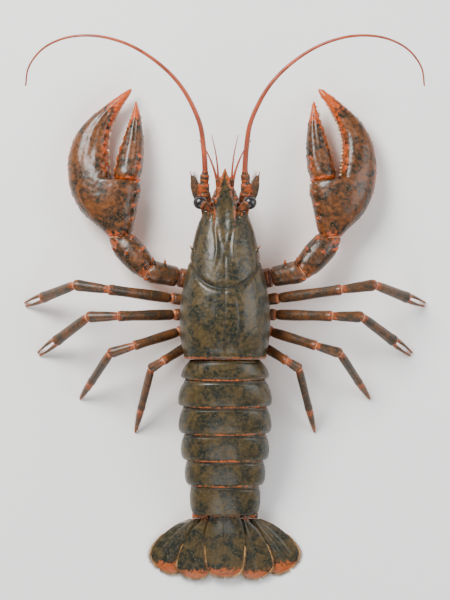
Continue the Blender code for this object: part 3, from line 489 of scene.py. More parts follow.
# %% A finished piece: in metres, painted, riding on the animal
def settle(name, mesh, nodes):
    """Makes a piece of a mesh, smooths its shading and hides the solids it stands for."""
    mesh.shade_smooth()
    body = add_object(name, mesh)
    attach(body, "root")
    if nodes:
        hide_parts(*nodes)


def dress(name, piece, finish, slot, nodes=(), side=1, warm=0.0, pale=None, deep=0.0):
    """warm, pale and the painted shade are numbers, or one value a point. The painted shade darkens grooves
    and recesses. Without pale, whatever faces down is pale.
    """
    if pale is None:
        pale = ramp(-0.05, -0.7, normals(piece)[:, 2])
    if side < 0:
        piece = mirrored(piece)
    points = (piece[0] - vec(0, ORIGIN_BEHIND_TIP, 0)) * MM
    points[:, 2] = np.maximum(points[:, 2], 0.0)
    mesh = mesh_of(name, (points, piece[1]))
    mesh.materials.append(finish)
    # the third value is the painted shade of grooves and recesses
    for label, values in (("warm", warm), ("pale", pale), ("deep", deep)):
        values = np.clip(np.broadcast_to(values, len(points)), 0, 1).astype(np.float32)
        mesh.attributes.new(label, "FLOAT", "POINT").data.foreach_set("value", values)
    settle(name, mesh, nodes)


# %% Left and right
def both(make, name, *rest, nodes=(), **more):
    """Makes a piece on both sides of the animal. SIDE in a name stands for left or right."""
    for label, side in SIDES.items():
        solids = [solid.replace("SIDE", label) for solid in nodes]
        make(name.replace("SIDE", label), *rest, nodes=solids, side=side, **more)


def tip_glow(points, tips, size):
    """Near 1 close to any of the given tips, 0 away from them."""
    glow = np.zeros(len(points))
    for tip in tips:
        glow = np.maximum(glow, bell(np.linalg.norm(points - np.asarray(tip), axis=1), 0.0, size))
    return glow


# %% Jointed tubes
def limb(stations, start=None, end=None, sides=28, spacing=0.8, power=2.1, edge=0.8, keel=None):
    """A skin along (point, half width, half height) stations, with rounded ends.

    start and end turn its end faces. keel gives a factor on the size for each share and angle."""
    table = np.array([(*point, w, h) for point, w, h in stations], float)
    knots = lengths_along(table[:, :3])
    inside = np.linspace(0, knots[-1], max(6, int(knots[-1] / spacing)))
    lips = edge * vec(0.0, 0.06, 0.2, 0.45, 0.8)
    places = np.unique(np.round(np.concatenate([inside, lips, knots[-1] - lips]), 4))
    run = np.stack([smooth(np.stack([knots, table[:, k]], 1), places) for k in range(5)], 1)
    ahead = np.gradient(run[:, :3], places, axis=0)
    for turn, near in ((start, places), (end, knots[-1] - places)):
        if turn is not None:
            share = ramp(2.5, 0.0, near)[:, None]
            ahead = unit(ahead) * (1 - share) + np.asarray(turn) * share
    ahead = unit(ahead)
    upright = vec(0, 0, 1) if abs(ahead[0, 2]) < 0.9 else vec(0, 1, 0)
    across = unit(np.cross(ahead, upright))
    up = np.cross(across, ahead)
    near_end = np.minimum(places, knots[-1] - places)
    pull = edge * (1 - np.sqrt(1 - (1 - np.clip(near_end / edge, 0, 1)) ** 2))
    angle = np.linspace(0, 2 * math.pi, sides, endpoint=False)
    c, s = rounded(angle, power)
    grow = 1.0 if keel is None else keel((places / knots[-1])[:, None], angle)
    wide = (run[:, 3] - pull)[:, None] * c * grow
    high = (run[:, 4] - pull)[:, None] * s * grow
    return skin(run[:, None, :3] + across[:, None] * wide[..., None] + up[:, None] * high[..., None])


print("a tube of 10 mm:", len(limb([((0, 0, 0), 2, 2), ((0, 10, 0), 2, 2)])[0]), "points")

# %% Spines
THORN_SHAPE = ((0.0, 1.0), (0.5, 0.6), (1.08, 0.16))


def thorn(root, tip, radius):
    """A spine that tapers evenly to a small rounded tip."""
    root, tip = np.asarray(root, float), np.asarray(tip, float)
    rows = [(root + share * (tip - root), factor * radius, factor * radius) for share, factor in THORN_SHAPE]
    return limb(rows, sides=14, spacing=0.4, edge=0.1, power=2.0)


def thorns(table):
    """The spines of a table, and their tips."""
    return [thorn(*row) for row in table], [tip for _, tip, _ in table]


# %% [markdown]
# ## Carapace
# The shield over head and thorax. A curved cervical groove crosses it, a fine seam runs down the middle of
# the back, and a smooth rim follows its free edges. The shield is drawn as rows along the body whose grooves
# are part of the curve. The rostrum, its teeth and the head spines are then fused to it. Behind, the shield
# ends in a thin lip, because a real one is a shell and no block: its end is sunk in a little and darkened
# with painted shade, as are its grooves and its seam.

# %% Sizes of the shield
HEAD_FRONT = 32.0
CARAPACE_END = 140.0
SHIELD_SQUARENESS = 2.25
FLANK_PINCH = 0.2
GROOVE_PLACE = 88.0
GROOVE_DEPTH = 0.045
GROOVE_SWEEP = 20.0
GROOVE_FLANK_SWEEP = 0.25
FRONT_RAKE = 13.0
FRONT_RAKE_FADE = 34.0
CARAPACE_HALF_WIDTH = ((32, 16.0), (45, 21.0), (56, 23.6), (67, 26.2), (78, 28.6), (89, 31.0), (100, 32.6),
                       (111, 33.2), (122, 32.8), (133, 31.2), (140, 29.4))
CARAPACE_TOP = ((32, 57.5), (40, 60.5), (50, 63.5), (62, 66.5), (76, 69.0), (90, 70.5), (105, 71.5),
                (118, 71.0), (130, 68.2), (140, 64.2))
CARAPACE_WIDEST_LEVEL = ((32, 45.0), (60, 44.5), (100, 43.5), (140, 42.5))
ROSTRUM_SHAPE = ((64, 2.2, 1.4, 65.8), (52, 5.2, 2.6, 62.2), (41, 8.4, 3.4, 58.6), (32, 8.4, 3.1, 57.4),
                 (24, 6.8, 2.6, 58.0), (15, 4.7, 2.1, 59.0), (7, 2.8, 1.5, 60.3), (1.5, 1.1, 0.9, 61.8),
                 (0, 0.5, 0.5, 62.2))
ROSTRUM_TEETH = ((25, 6.0), (17, 4.3), (9.5, 2.6))
TOOTH_REACH = 4.5
TOOTH_LEAN = 0.65
TOOTH_RADIUS = 1.5
SHELL_SPINES = (((11.5, 39.0, 55.5), (12.6, 31.5, 58.8), 1.7), ((15.0, 37.0, 47.5), (17.8, 28.6, 48.6), 1.7),
                ((22.4, 62.0, 54.5), (26.2, 56.0, 57.2), 1.5))


def margin_level(place):
    """The height of the shield's free edge."""
    return 30.0 - 4.0 * (place - HEAD_FRONT) / (CARAPACE_END - HEAD_FRONT)


# %% The shield's rows of points
BACK_POINTS = 110
FLANK_POINTS = 15
SHIELD_ROWS = 190
GROOVE_WIDTH = 2.0
BACK_RIM = ((0.016, 135.4, 1.3), (-0.012, 138.2, 1.2))
FLANK_RIM = ((0.015, 0.84, 0.06), (-0.012, 0.95, 0.06))
EDGE_TURNED_IN = ((0.0, -0.5), (1.2, -0.4), (2.4, 1.6), (4.0, 3.2), (7.0, 3.6))
HOOD_ROWS = ((0.80, 7.0), (0.85, 3.5), (0.89, 0.8), (0.955, -0.3))
HOOD_CENTRE = 44.0


def shield_points(place, lift, drop):
    """lift turns from 0 on one flank over the back to pi on the other; drop runs down a flank."""
    reach = np.minimum(1.0, np.abs(place - GROOVE_PLACE) / (CARAPACE_END - GROOVE_PLACE))
    fade = np.cos(math.pi / 2 * reach) ** 2
    rake = FRONT_RAKE * np.maximum(0.0, 1 - (place - HEAD_FRONT) / FRONT_RAKE_FADE) ** 2
    y = place - GROOVE_SWEEP * fade * (np.cos(lift) ** 2 + GROOVE_FLANK_SWEEP * drop) + rake * drop**3
    width, level = smooth(CARAPACE_HALF_WIDTH, y), smooth(CARAPACE_WIDEST_LEVEL, y)
    top = smooth(CARAPACE_TOP, y)
    c, s = rounded(lift, SHIELD_SQUARENESS)
    cut = GROOVE_DEPTH * bell(place, GROOVE_PLACE, GROOVE_WIDTH)
    for where, rim in ((place, BACK_RIM), (drop, FLANK_RIM)):
        for depth, middle, width_of_rim in rim:
            cut = cut + depth * bell(where, middle, width_of_rim)
    x = width * c * (1 - cut) * (1 - FLANK_PINCH * drop**2)
    z = level + (top - level) * s * (1 - cut) - (level - margin_level(y)) * drop
    return np.stack(np.broadcast_arrays(x, y, z), axis=-1)


# %% The closed shield
def shield():
    """The closed shield, hollowed a little underneath and at its front."""
    over = np.linspace(0, math.pi, BACK_POINTS)
    down = np.linspace(0, 1, FLANK_POINTS + 1)[1:]
    lift = np.concatenate([over, np.full(FLANK_POINTS, math.pi), np.zeros(FLANK_POINTS)])
    drop = np.concatenate([np.zeros(BACK_POINTS), down, down[::-1]])
    place = np.linspace(HEAD_FRONT, CARAPACE_END - GAP / 2, SHIELD_ROWS)[:, None]
    ring = shield_points(place, lift[None], drop[None])
    near = BACK_POINTS + FLANK_POINTS
    turned_in = np.array([(inset, 0.0, rise) for inset, rise in EDGE_TURNED_IN])[None]
    inner_far = ring[:, near - 1, None] + turned_in
    inner_near = ring[:, near, None] + (turned_in * vec(-1, 1, 1))[:, ::-1]
    ring = np.concatenate([ring[:, :near], inner_far, inner_near, ring[:, near:]], axis=1)
    hood = []
    for shrink, back in HOOD_ROWS:
        row = ring[0].copy()
        row[:, 0] *= shrink
        row[:, 2] = HOOD_CENTRE + (row[:, 2] - HOOD_CENTRE) * shrink
        row[:, 1] += back
        hood.append(row)
    return skin(np.concatenate([np.array(hood), ring]))


hull = shield()
print("shield:", len(hull[0]), "points")


# %% The rostrum
def rostrum():
    """The spike between the eyes: hollowed along its top, with upright side teeth."""
    rows = [((0, y, z), w, t) for y, w, t, z in ROSTRUM_SHAPE]

    def hollow(share, angle):
        return 1 - 0.4 * bell(np.cos(angle), 0.0, 0.45) * (np.sin(angle) > 0) * ramp(0.0, 0.25, share)

    pieces = [limb(rows, sides=48, spacing=0.6, power=2.2, edge=0.3, keel=hollow)]
    levels = sorted((y, z) for y, _, _, z in ROSTRUM_SHAPE)
    for y, out in ROSTRUM_TEETH:
        level = smooth(levels, y)
        tooth = thorn((out - TOOTH_RADIUS, y + TOOTH_RADIUS, level),
                      (out + TOOTH_LEAN * TOOTH_REACH, y - TOOTH_REACH, level + 1.2), TOOTH_RADIUS)
        pieces += [tooth, mirrored(tooth)]
    return pieces


beak = rostrum()
print("rostrum: 1 spike and", len(beak) - 1, "teeth")

# %% Fuse the shield and measure where its points lie
head_spines, tips = thorns(SHELL_SPINES)
both_sides = head_spines + [mirrored(spine) for spine in head_spines]
carapace = fused([hull] + beak + both_sides, voxel=0.7, relax=4)
p = carapace[0]
x, y, z = p.T
aside = np.abs(x)
out = aside / smooth(CARAPACE_HALF_WIDTH, y)
middle = smooth(CARAPACE_WIDEST_LEVEL, y)
above_margin = z - margin_level(y)
fall = np.clip((middle - z) / (middle - margin_level(y)), 0, 1)
print("carapace:", len(p), "points")

# %% Carve its lines
back = ramp(0.2, 0.8, normals(carapace)[:, 2])
swept = GROOVE_SWEEP * (np.minimum(out, 1) ** SHIELD_SQUARENESS + GROOVE_FLANK_SWEEP * fall)
neck = bell(y + swept - GROOVE_PLACE, 0.0, 1.5)
cheek = bell(z, 46.5 + 0.12 * (y - 50), 1.4) * window(y, 40, 46, 60, 66) * (out > 0.8)
seam = bell(x, 0.0, 0.8) * window(y, 60, 68, 134, 137)
ridge_x = smooth(((32, 7.6), (45, 7.0), (60, 6.0), (80, 9.5)), y)
ridges = bell(aside, ridge_x, 1.3) * window(y, 38, 44, 58, 80)
gill_x = smooth(((88, 8.0), (110, 11.0), (136, 9.0)), y)
gills = bell(aside, gill_x, 1.6) * window(y, 92, 98, 126, 134)
heights = back * (-0.45 * seam + 0.8 * ridges - 0.45 * gills) - 0.45 * neck - 0.6 * cheek
heights += 0.16 * wobble(p, 7.0, 3.1) + 0.10 * wobble(p, 2.2, 9.4)
carapace = raised(carapace, heights)
print("carved from", round(heights.min(), 2), "to", round(heights.max(), 2), "mm")

# %% Sink its back end inside a thin lip
LIP_INSIDE = (0.972, 0.93)
LIP_START = (138.9, 139.6)
LIP_DEPTH = 1.8
arch = np.maximum(z - middle, 0) / (smooth(CARAPACE_TOP, y) - middle)
across = out / (1 - FLANK_PINCH * fall**2)
from_axis = (across**SHIELD_SQUARENESS + arch**SHIELD_SQUARENESS) ** (1 / SHIELD_SQUARENESS)
recess = ramp(*LIP_INSIDE, from_axis) * ramp(*LIP_START, y)
carapace[0][:, 1] -= LIP_DEPTH * recess
print("sunk:", int((recess > 0.5).sum()), "points")

# %% Paint and place it
tips += [(reach + TOOTH_LEAN * TOOTH_REACH, place - TOOTH_REACH, 61) for place, reach in ROSTRUM_TEETH]
tips += [(-tip[0], *tip[1:]) for tip in tips] + [(0, 0, 62)]
# painted shade: the cervical groove, the seam, the furrows by the gills and the cheek groove are darkened
deep = 0.9 * neck + 0.55 * back * seam + 0.35 * back * gills + 0.6 * cheek
warm = tip_glow(p, tips, 3.4) + 0.75 * ramp(7.0, 0.5, above_margin)
warm += (0.6 + 0.3 * wobble(p, 6.0, 4.0)) * ramp(137.0, 139.6, y)
warm += 0.3 * ramp(0.75, 0.98, out) * ramp(60, 40, z)
warm += 0.35 * bell(aside, ridge_x, 1.5) * ramp(60, 30, y)
warm += 0.6 * ramp(30, 4, y) * bell(aside, smooth(((0, 0.6), (32, 7.6)), y), 1.6)
pale = ramp(0.0, -0.6, normals(carapace)[:, 2]) + 0.55 * ramp(6.0, 0.0, above_margin)
# painted shade: the sunk end is darkened and loses its warm and pale colours
dress("carapace_shell", carapace, SHELL, "shell", ["carapace"], warm=warm * (1 - recess),
      pale=pale * (1 - recess), deep=np.maximum(deep, 0.9 * recess))
print("warm:", round(100 * (warm > 0.5).mean()), "% of its points")


# %% [markdown]
# ## Front of the head and the body wall
# Behind the feelers the head ends in a rounded front that fills the shield's opening. Under the shield, the
# body wall carries the first joint of every limb. The wall is drawn as smooth rows and fused with those
# joints, and the seams between the plates of the breast are pressed in afterwards.

# %% Front of the head
HEAD_ROWS = ((46, 14.0, 30, 56), (38, 13.8, 30.5, 55.5), (34, 13.2, 31, 54.8), (32.3, 11.4, 33, 53.4),
             (31.6, 7.0, 37, 50), (31.5, 2.0, 42, 46))


def dome(place, half_width, low, high, count=48):
    """One egg-shaped row across the head."""
    c, s = full_turn(count, 2.3)
    middle, half = (low + high) / 2, (high - low) / 2
    return np.stack([half_width * c, np.full(count, place), middle + half * s], 1)


rows = np.array([dome(*row) for row in HEAD_ROWS])
face = skin(through(rows.transpose(1, 0, 2), 8).transpose(1, 0, 2))
face[0][:, 1] += 12.0 * np.clip((41.0 - face[0][:, 2]) / 11.0, 0, 1) ** 2
face = raised(face, 0.5 * wobble(face[0], 3.0))
# painted shade: the head front darkens towards its back, under the shield
dress("head_front", face, BELLY, "underside", ["thorax"], warm=0.5, deep=0.25 * ramp(34.5, 38, face[0][:, 1]))
print("head front:", len(face[0]), "points")

# %% Sizes of the body wall
WALL_FRONT = 42.0
WALL_END = 138.5
BREAST_SEAMS = (90, 102, 112, 122)
THORAX_HALF_WIDTH = ((42, 7.5), (60, 10.0), (75, 14.5), (100, 18.0), (125, 18.5), (138.5, 14.0))
THORAX_KEEL_LEVEL = ((42, 25.5), (52, 22.0), (60, 18.0), (72, 13.5), (90, 11.5), (110, 11.0), (138.5, 13.5))
COXA_END = 23.0
COXA_LENGTH = 15.0
COXA_LEVEL = 17.5
COXA_SIZE = vec(4.3, 5.2)
CLAW_COXA_SIZE = vec(6.6, 7.0)
COXA_SHAPE = ((COXA_LENGTH, 1.0), (7, 1.04), (2.4, 1.08), (GAP / 2, 1.0))
CLAW_ROOT = 82.0
ARM_END = vec(56.5, 75.5, 27.0)
MAXILLIPED_ROOT = vec(7.6, 60.0, 13.8)
WALKING_LEGS = (
    {"root": 97.5, "knee": (109.8, 85.6, 41.0), "toe": (147.0, 100.0), "build": 1.0, "pincer": True},
    {"root": 107.0, "knee": (100.2, 109.0, 41.5), "toe": (137.0, 136.5), "build": 1.0, "pincer": True},
    {"root": 116.5, "knee": (84.0, 135.5, 41.0), "toe": (106.5, 169.5), "build": 0.93, "pincer": False},
    {"root": 127.5, "knee": (54.0, 146.5, 39.5), "toe": (66.0, 194.0), "build": 0.88, "pincer": False},
)


def limb_roots():
    """(root, direction, size) of the claw arm and the walking legs."""
    roots = []
    rows = [(CLAW_ROOT, ARM_END, CLAW_COXA_SIZE)]
    rows += [(leg["root"], leg["knee"], COXA_SIZE * leg["build"]) for leg in WALKING_LEGS]
    for place, target, size in rows:
        root = vec(COXA_END, place, COXA_LEVEL)
        roots.append((root, unit(vec(target[0] - root[0], target[1] - root[1], 0)), size))
    return roots


print("limbs leave the body at", [round(float(root[1]), 1) for root, _, _ in limb_roots()], "mm")


# %% The body wall and the limbs' first joints
def thorax_row(place):
    half, keel, edge = smooth(THORAX_HALF_WIDTH, place), smooth(THORAX_KEEL_LEVEL, place), margin_level(place)
    right = [(half * 0.9, edge + 3.0), (half, edge - 2), (half * 0.97, edge - 0.45 * (edge - keel)),
             (half * 0.6, keel + 1.2), (half * 0.22, keel)]
    outline = right + [(-x, z) for x, z in reversed(right)]
    return [(x, place, z) for x, z in outline + outline[:1]]


wall = skin(through(np.array([thorax_row(y) for y in np.linspace(WALL_FRONT, WALL_END, 60)]), 6))
sockets = []
for root, direction, size in limb_roots():
    rows = [(root - direction * inside, *(size * factor)) for inside, factor in COXA_SHAPE]
    sockets.append(limb(rows, direction, direction, power=2.0))
stump = MAXILLIPED_ROOT + vec(0, GAP / 2, 0)
sockets.append(limb([(MAXILLIPED_ROOT + vec(-0.8, 9, 2.5), 3.0, 3.2), (stump, 3.3, 3.1)]))
thorax = fused([wall] + sockets + [mirrored(socket) for socket in sockets], voxel=0.7, relax=5)
print("first joints:", 2 * len(sockets))

# %% Press in the seams of the breast, paint and place the wall
p = thorax[0]
x, y, z = p.T
breast = ramp(22, 17, z) * ramp(16, 10, np.abs(x))
furrows = sum(bell(y - 0.15 * np.abs(x), place, 0.9) for place in BREAST_SEAMS)
heights = -0.7 * breast * furrows - 0.8 * breast * bell(x, 0, 0.9) + 0.12 * wobble(p, 3.0)
thorax = raised(thorax, heights)
ends = [root + direction * 1.0 for root, direction, _ in limb_roots()]
glow = tip_glow(p, ends + [end * vec(-1, 1, 1) for end in ends], 6.0)
dress("body_wall", thorax, BELLY, "underside", ["thorax"], warm=0.8 * glow + 0.4 * ramp(17, 24, np.abs(x)))
print("body wall:", len(p), "points")


# %% [markdown]
# ## Abdomen
# Six ring plates overlap like roof tiles, each sliding under the rim of the one before it, and each ends at
# the sides in a pointed flap. All six follow one rule, so one function draws them from the body's curves.
# The rim reaches back over the next plate, furthest in the middle of the back, as the drawing shows it.

# %% Sizes of the abdomen
SEGMENT_ENDS = (140.0, 154.0, 174.0, 194.0, 213.5, 232.0, 254.0)
ABDOMEN_HALF_WIDTH = ((140, 28.0), (150, 31.0), (165, 33.2), (185, 33.2), (205, 31.8), (225, 28.8),
                      (245, 25.2), (254, 23.4))
ABDOMEN_TOP = ((140, 62.5), (160, 59.0), (180, 53.0), (200, 46.0), (220, 38.5), (240, 31.0), (254, 25.5))
ABDOMEN_BELLY = ((140, 31.0), (160, 26.5), (180, 22.0), (200, 17.5), (220, 13.5), (240, 9.5), (254, 8.0))
PLEURA_DEPTH = (2.5, 9.5, 10.0, 9.5, 8.0, 4.0)
TERGITE_SWELL = ((0.0, 0.935), (0.14, 0.97), (0.4, 0.992), (0.7, 1.0), (0.9, 1.0), (1.0, 0.985))
TERGITE_SPREAD = ((0.0, 0.9), (0.14, 0.945), (0.4, 1.0), (0.7, 1.03), (0.9, 1.02), (1.0, 0.975))
PLEURA_LOBE = ((0.0, 0.0), (0.14, 0.3), (0.4, 0.72), (0.7, 1.0), (0.9, 0.6), (1.0, 0.25))
SWIMMERET_LENGTH = (12.0, 17.0, 15.0, 12.0, 8.5)
RIM_REACH = 2.2
print("abdomen:", SEGMENT_ENDS[-1] - SEGMENT_ENDS[0], "mm long")

# %% One plate
ARCH_POINTS = 90
PLATE_ROWS = 46
RIM_STEPS = ((0.35, 1.0), (0.7, 0.998), (0.95, 0.992), (1.0, 0.978), (0.6, 0.965))
LAST_RIM_REACH = 0.8
FLAP_POINT = 101
flap_lines = []


def plate_row(place, share, depth, shrink=1.0):
    """Points of one row: the arch, then round a flap, under the belly and up the other flap."""
    belly = smooth(ABDOMEN_BELLY, place)
    top = belly + (smooth(ABDOMEN_TOP, place) - belly) * (smooth(TERGITE_SWELL, share) * shrink)
    width = smooth(ABDOMEN_HALF_WIDTH, place) * smooth(TERGITE_SPREAD, share) * shrink
    level = belly + 0.22 * (top - belly)
    flap = max(belly - 0.6 - depth * smooth(PLEURA_LOBE, share), 1.0)
    c, s = rounded(np.linspace(0, math.pi, ARCH_POINTS), 2.2)
    arch = np.stack([width * c, np.full(ARCH_POINTS, place), level + (top - level) * s], 1)
    half = [(width, level), (width, (level + flap) / 2), (width * 0.98, flap + 0.8), (width * 0.96, flap),
            (width * 0.96 - 1.3, flap + 0.5), (width * 0.8, belly), (width * 0.4, belly - 1.0 - 0.8 * share)]
    left = [(-x, place, z) for x, z in half]
    right = [(x, place, z) for x, z in reversed(half)]
    return np.concatenate([arch, curve(left + right, 4)[1:]])


print("one row:", len(plate_row(160.0, 0.5, 9.0)), "points")


# %% A closed plate with its rim
def plate(number):
    """A closed ring plate with its rim and its flaps, and the places where it starts and ends."""
    start = SEGMENT_ENDS[number - 1] + GAP / 2
    end = SEGMENT_ENDS[number] - GAP / 2
    depth = PLEURA_DEPTH[number - 1]
    rows = []
    for share in np.linspace(0, 1, PLATE_ROWS):
        facet = 1 - 0.012 * bell(share, 0.17, 0.035) + 0.008 * bell(share, 0.97, 0.04)
        rows.append(plate_row(start + (end - start) * share, share, depth, facet))
    flap_lines.append(np.array([row[FLAP_POINT] for row in rows[4:]]))
    bow = np.zeros(len(rows[0]))
    bow[:ARCH_POINTS] = np.sin(np.linspace(0, math.pi, ARCH_POINTS)) ** 1.5
    reach = RIM_REACH if number < 6 else LAST_RIM_REACH
    for step, shrink in RIM_STEPS:
        row = plate_row(end, 1.0, depth, 1.008 * shrink)
        row[:, 1] += step * reach * bow
        rows.append(row)
    return skin(np.array(rows)), start, end


# %% Six plates
for number in range(1, 7):
    tergite, start, end = plate(number)
    p = tergite[0]
    x, y, z = p.T
    share = (y - start) / (end - start)
    up = normals(tergite)[:, 2]
    belly = smooth(ABDOMEN_BELLY, y)
    outside = ramp(belly + 0.5, belly + 4.0, z)
    bars = ramp(-0.3, -0.8, up) * bell(share, 0.55, 0.14)
    heights = 0.7 * bars + outside * (0.10 * wobble(p, 6.0, number) + 0.06 * wobble(p, 2.0, number + 7))
    heights -= 0.35 * outside * bell(x, 0, 0.9) * window(share, 0.2, 0.3, 0.85, 0.95)
    tergite = raised(tergite, heights)
    warm = (0.6 + 0.32 * wobble(p, 6.0, 5.0)) * ramp(end + 0.2, end + 1.6, y)
    warm += 0.4 * ramp(0.93, 1.0, share) * wobble(p, 4.0, 2.0) + 0.35 * ramp(0.16, 0.04, share)
    warm += 0.8 * ramp(belly + 2, belly - 6, z)
    # painted shade: the groove across the plate and the seam down the back are darkened
    crease_shade = 0.5 * bell(share, 0.17, 0.03) + 0.3 * bell(x, 0, 0.9) * (up > 0.5)
    inner = ramp(0.0, -0.5, up) * (np.abs(x) < smooth(ABDOMEN_HALF_WIDTH, y) * 0.93)
    dress(f"abdomen_{number}_plate", tergite, SHELL, "shell", [f"abdomen_{number}"], warm=warm, pale=inner,
          deep=crease_shade * outside)
print("abdomen: 6 plates of", len(tergite[0]), "points")


# %% [markdown]
# ## Bristles
# Fringes of bristles edge the tail fan, the swimmerets and the small limbs. Several thousand of them would be
# hopeless by hand, so Geometry Nodes set one three-sided bristle on every point that a fringe is given. Each
# point carries two values of its own, the way it leans and how long it is, and a seeded random turn keeps
# neighbours from lying exactly alike. A second tree works the same way and sets the teeth of the claws.

# %% Parts that geometry trees share
def new_tree(name, inputs):
    """An empty geometry tree with its named inputs, their sockets and its output."""
    tree = bpy.data.node_groups.new(name, "GeometryNodeTree")
    tree.is_modifier = True
    for label, kind in (("Geometry", "Geometry"), *inputs):
        tree.interface.new_socket(label, in_out="INPUT", socket_type="NodeSocket" + kind)
    tree.interface.new_socket("Geometry", in_out="OUTPUT", socket_type="NodeSocketGeometry")
    return tree, tree.nodes.new("NodeGroupInput").outputs, tree.nodes.new("NodeGroupOutput").inputs


def stored(tree, label, kind="FLOAT"):
    """A value that each point brings along."""
    return node(tree, "GeometryNodeInputNamedAttribute", {"Name": label}, data_type=kind).outputs["Attribute"]


def vectors(tree, operation, values):
    return output(tree, "ShaderNodeVectorMath", values, operation=operation)


def spike(tree, sides, rings):
    """A cone of height 1 that stands on every point."""
    return output(tree, "GeometryNodeMeshCone", {
        "Vertices": sides, "Side Segments": rings, "Radius Top": 0.12, "Radius Bottom": 1.0, "Depth": 1.0})


def finished(tree, given, made, solid):
    """Ends a tree with its finish."""
    values = {"Geometry": solid, "Material": given["Finish"]}
    tree.links.new(output(tree, "GeometryNodeSetMaterial", values), made["Geometry"])


# %% A shape on every point
def grown_on(tree, given, made, shape, lie, sizes, unevenness=None):
    """Ends a tree: the shape on every point, turned along lie, sized, made uneven and painted."""
    turn = output(tree, "FunctionNodeAlignRotationToVector", {"Vector": lie}, axis="Z")
    size = output(tree, "ShaderNodeCombineXYZ", dict(enumerate(sizes)))
    crowd = output(tree, "GeometryNodeInstanceOnPoints", {
        "Points": given["Geometry"], "Instance": shape, "Rotation": turn, "Scale": size})
    solid = output(tree, "GeometryNodeRealizeInstances", {"Geometry": crowd})
    if unevenness is not None:
        where = output(tree, "GeometryNodeInputPosition")
        waves = node(tree, "ShaderNodeTexNoise", {"Vector": where, "Scale": 0.75, "Detail": 1.0})
        shift = vectors(tree, "SUBTRACT", {0: waves.outputs["Color"], 1: (0.5, 0.5, 0.5)})
        shift = vectors(tree, "SCALE", {0: shift, "Scale": unevenness})
        solid = output(tree, "GeometryNodeSetPosition", {"Geometry": solid, "Offset": shift})
    finished(tree, given, made, solid)


# %% A tree for fringes
FRINGE, given, made = new_tree("fringe", (
    ("Thickness", "Float"), ("Wildness", "Float"), ("Seed", "Int"), ("Finish", "Material")))
stray = output(FRINGE, "FunctionNodeRandomValue", {
    "Min": (-1, -1, -1), "Max": (1, 1, 1), "Seed": given["Seed"]}, data_type="FLOAT_VECTOR")
stray = vectors(FRINGE, "SCALE", {0: stray, "Scale": given["Wildness"]})
lean = vectors(FRINGE, "ADD", {0: stored(FRINGE, "lie", "FLOAT_VECTOR"), 1: stray})
luck = node(FRINGE, "FunctionNodeRandomValue", {2: 0.72, 3: 1.12, "Seed": given["Seed"]}, data_type="FLOAT")
long = sums(FRINGE, "MULTIPLY", stored(FRINGE, "reach"), luck.outputs[1])
grown_on(FRINGE, given, made, spike(FRINGE, 3, 2), lean, (given["Thickness"], given["Thickness"], long))
print("fringe tree:", len(FRINGE.nodes), "nodes")

# %% A tree for teeth
TEETH, given, made = new_tree("teeth", (("Pointed", "Bool"), ("Unevenness", "Float"), ("Finish", "Material")))
knob = output(TEETH, "GeometryNodeMeshUVSphere", {"Segments": 14, "Rings": 9, "Radius": 1.0})
either = output(TEETH, "GeometryNodeSwitch", {0: given["Pointed"], 1: knob, 2: spike(TEETH, 10, 4)},
                input_type="GEOMETRY")
girth = stored(TEETH, "girth")
sizes = (girth, girth, stored(TEETH, "reach"))
grown_on(TEETH, given, made, either, stored(TEETH, "lie", "FLOAT_VECTOR"), sizes, given["Unevenness"])
print("teeth tree:", len(TEETH.nodes), "nodes")


# %% Run a tree and keep its result as a plain mesh
def run_tree(name, tree, points, values, edges=(), side=1, slot="limb", nodes=(), **marks):
    """points in millimetres. marks are stored on them: lie, a direction, and the numbers reach and girth."""
    mesh = bpy.data.meshes.new(name)
    mesh.from_pydata(np.asarray(points).tolist(), list(edges), [])
    for label, data in marks.items():
        kind, field, size = ("FLOAT_VECTOR", "vector", [3]) if label == "lie" else ("FLOAT", "value", [])
        data = np.broadcast_to(np.asarray(data, np.float32), [len(points)] + size)
        mesh.attributes.new(label, kind, "POINT").data.foreach_set(field, data.ravel())
    source = add_object(name + " points", mesh)
    modifier = source.modifiers.new(tree.name, "NODES")
    modifier.node_group = tree
    sockets = {s.name: s.identifier for s in tree.interface.items_tree if s.in_out == "INPUT"}
    for label, value in values.items():
        modifier[sockets[label]] = value
    graph = bpy.context.evaluated_depsgraph_get()
    result = bpy.data.meshes.new_from_object(source.evaluated_get(graph))
    bpy.data.objects.remove(source)
    bpy.data.meshes.remove(mesh)
    result.name = name
    to_metres = Matrix.Diagonal((side * MM, MM, MM, 1.0))
    result.transform(to_metres @ Matrix.Translation((0, -ORIGIN_BEHIND_TIP, 0)))
    if side < 0:
        result.flip_normals()
    places = np.empty(len(result.vertices) * 3, np.float32)
    result.vertices.foreach_get("co", places)
    places[2::3] = np.maximum(places[2::3], 0.0)
    result.vertices.foreach_set("co", places)
    result.update()
    settle(name, result, nodes)


# %% Bristles along a line
def fringe(name, points, lie, reach, thickness, wildness, seed, **rest):
    """A bristle on each point. lie is one direction, or one a point."""
    values = {"Thickness": thickness, "Wildness": wildness, "Seed": seed, "Finish": BRISTLE}
    run_tree(name, FRINGE, points, values, lie=unit(np.asarray(lie, float)), reach=reach, **rest)


def spread(line, spacing):
    """Points at even spacing along a line."""
    line = np.asarray(line, float)
    lengths = lengths_along(line)
    places = np.arange(spacing / 2, lengths[-1], spacing)
    return np.stack([np.interp(places, lengths, line[:, k]) for k in range(3)], 1)


# %% Fringes under the flaps of the abdomen
points = np.concatenate([spread(line * vec(-1, 1, 1), 0.3) for line in flap_lines[1:]])
both(fringe, "flap_fringe_SIDE", points + vec(-0.2, 0, 0.1), (0.2, 0.4, -1), 1.9, 0.1, 0.22, 8, slot="shell")
print("flap fringe:", len(points), "bristles a side")


# %% [markdown]
# ## Swimmerets
# Under each of the first five plates hangs a pair of soft leaves, each split in two and fringed. Each leaf is
# a thin skin along a short bent line, and its fringe is grown on its edge.

# %% Leaves and their fringes
LEAF_HALF_WIDTH = ((0, 1.6), (0.25, 2.6), (0.55, 3.2), (0.8, 2.5), (1, 0.7))
LEAF_SIDES = 20


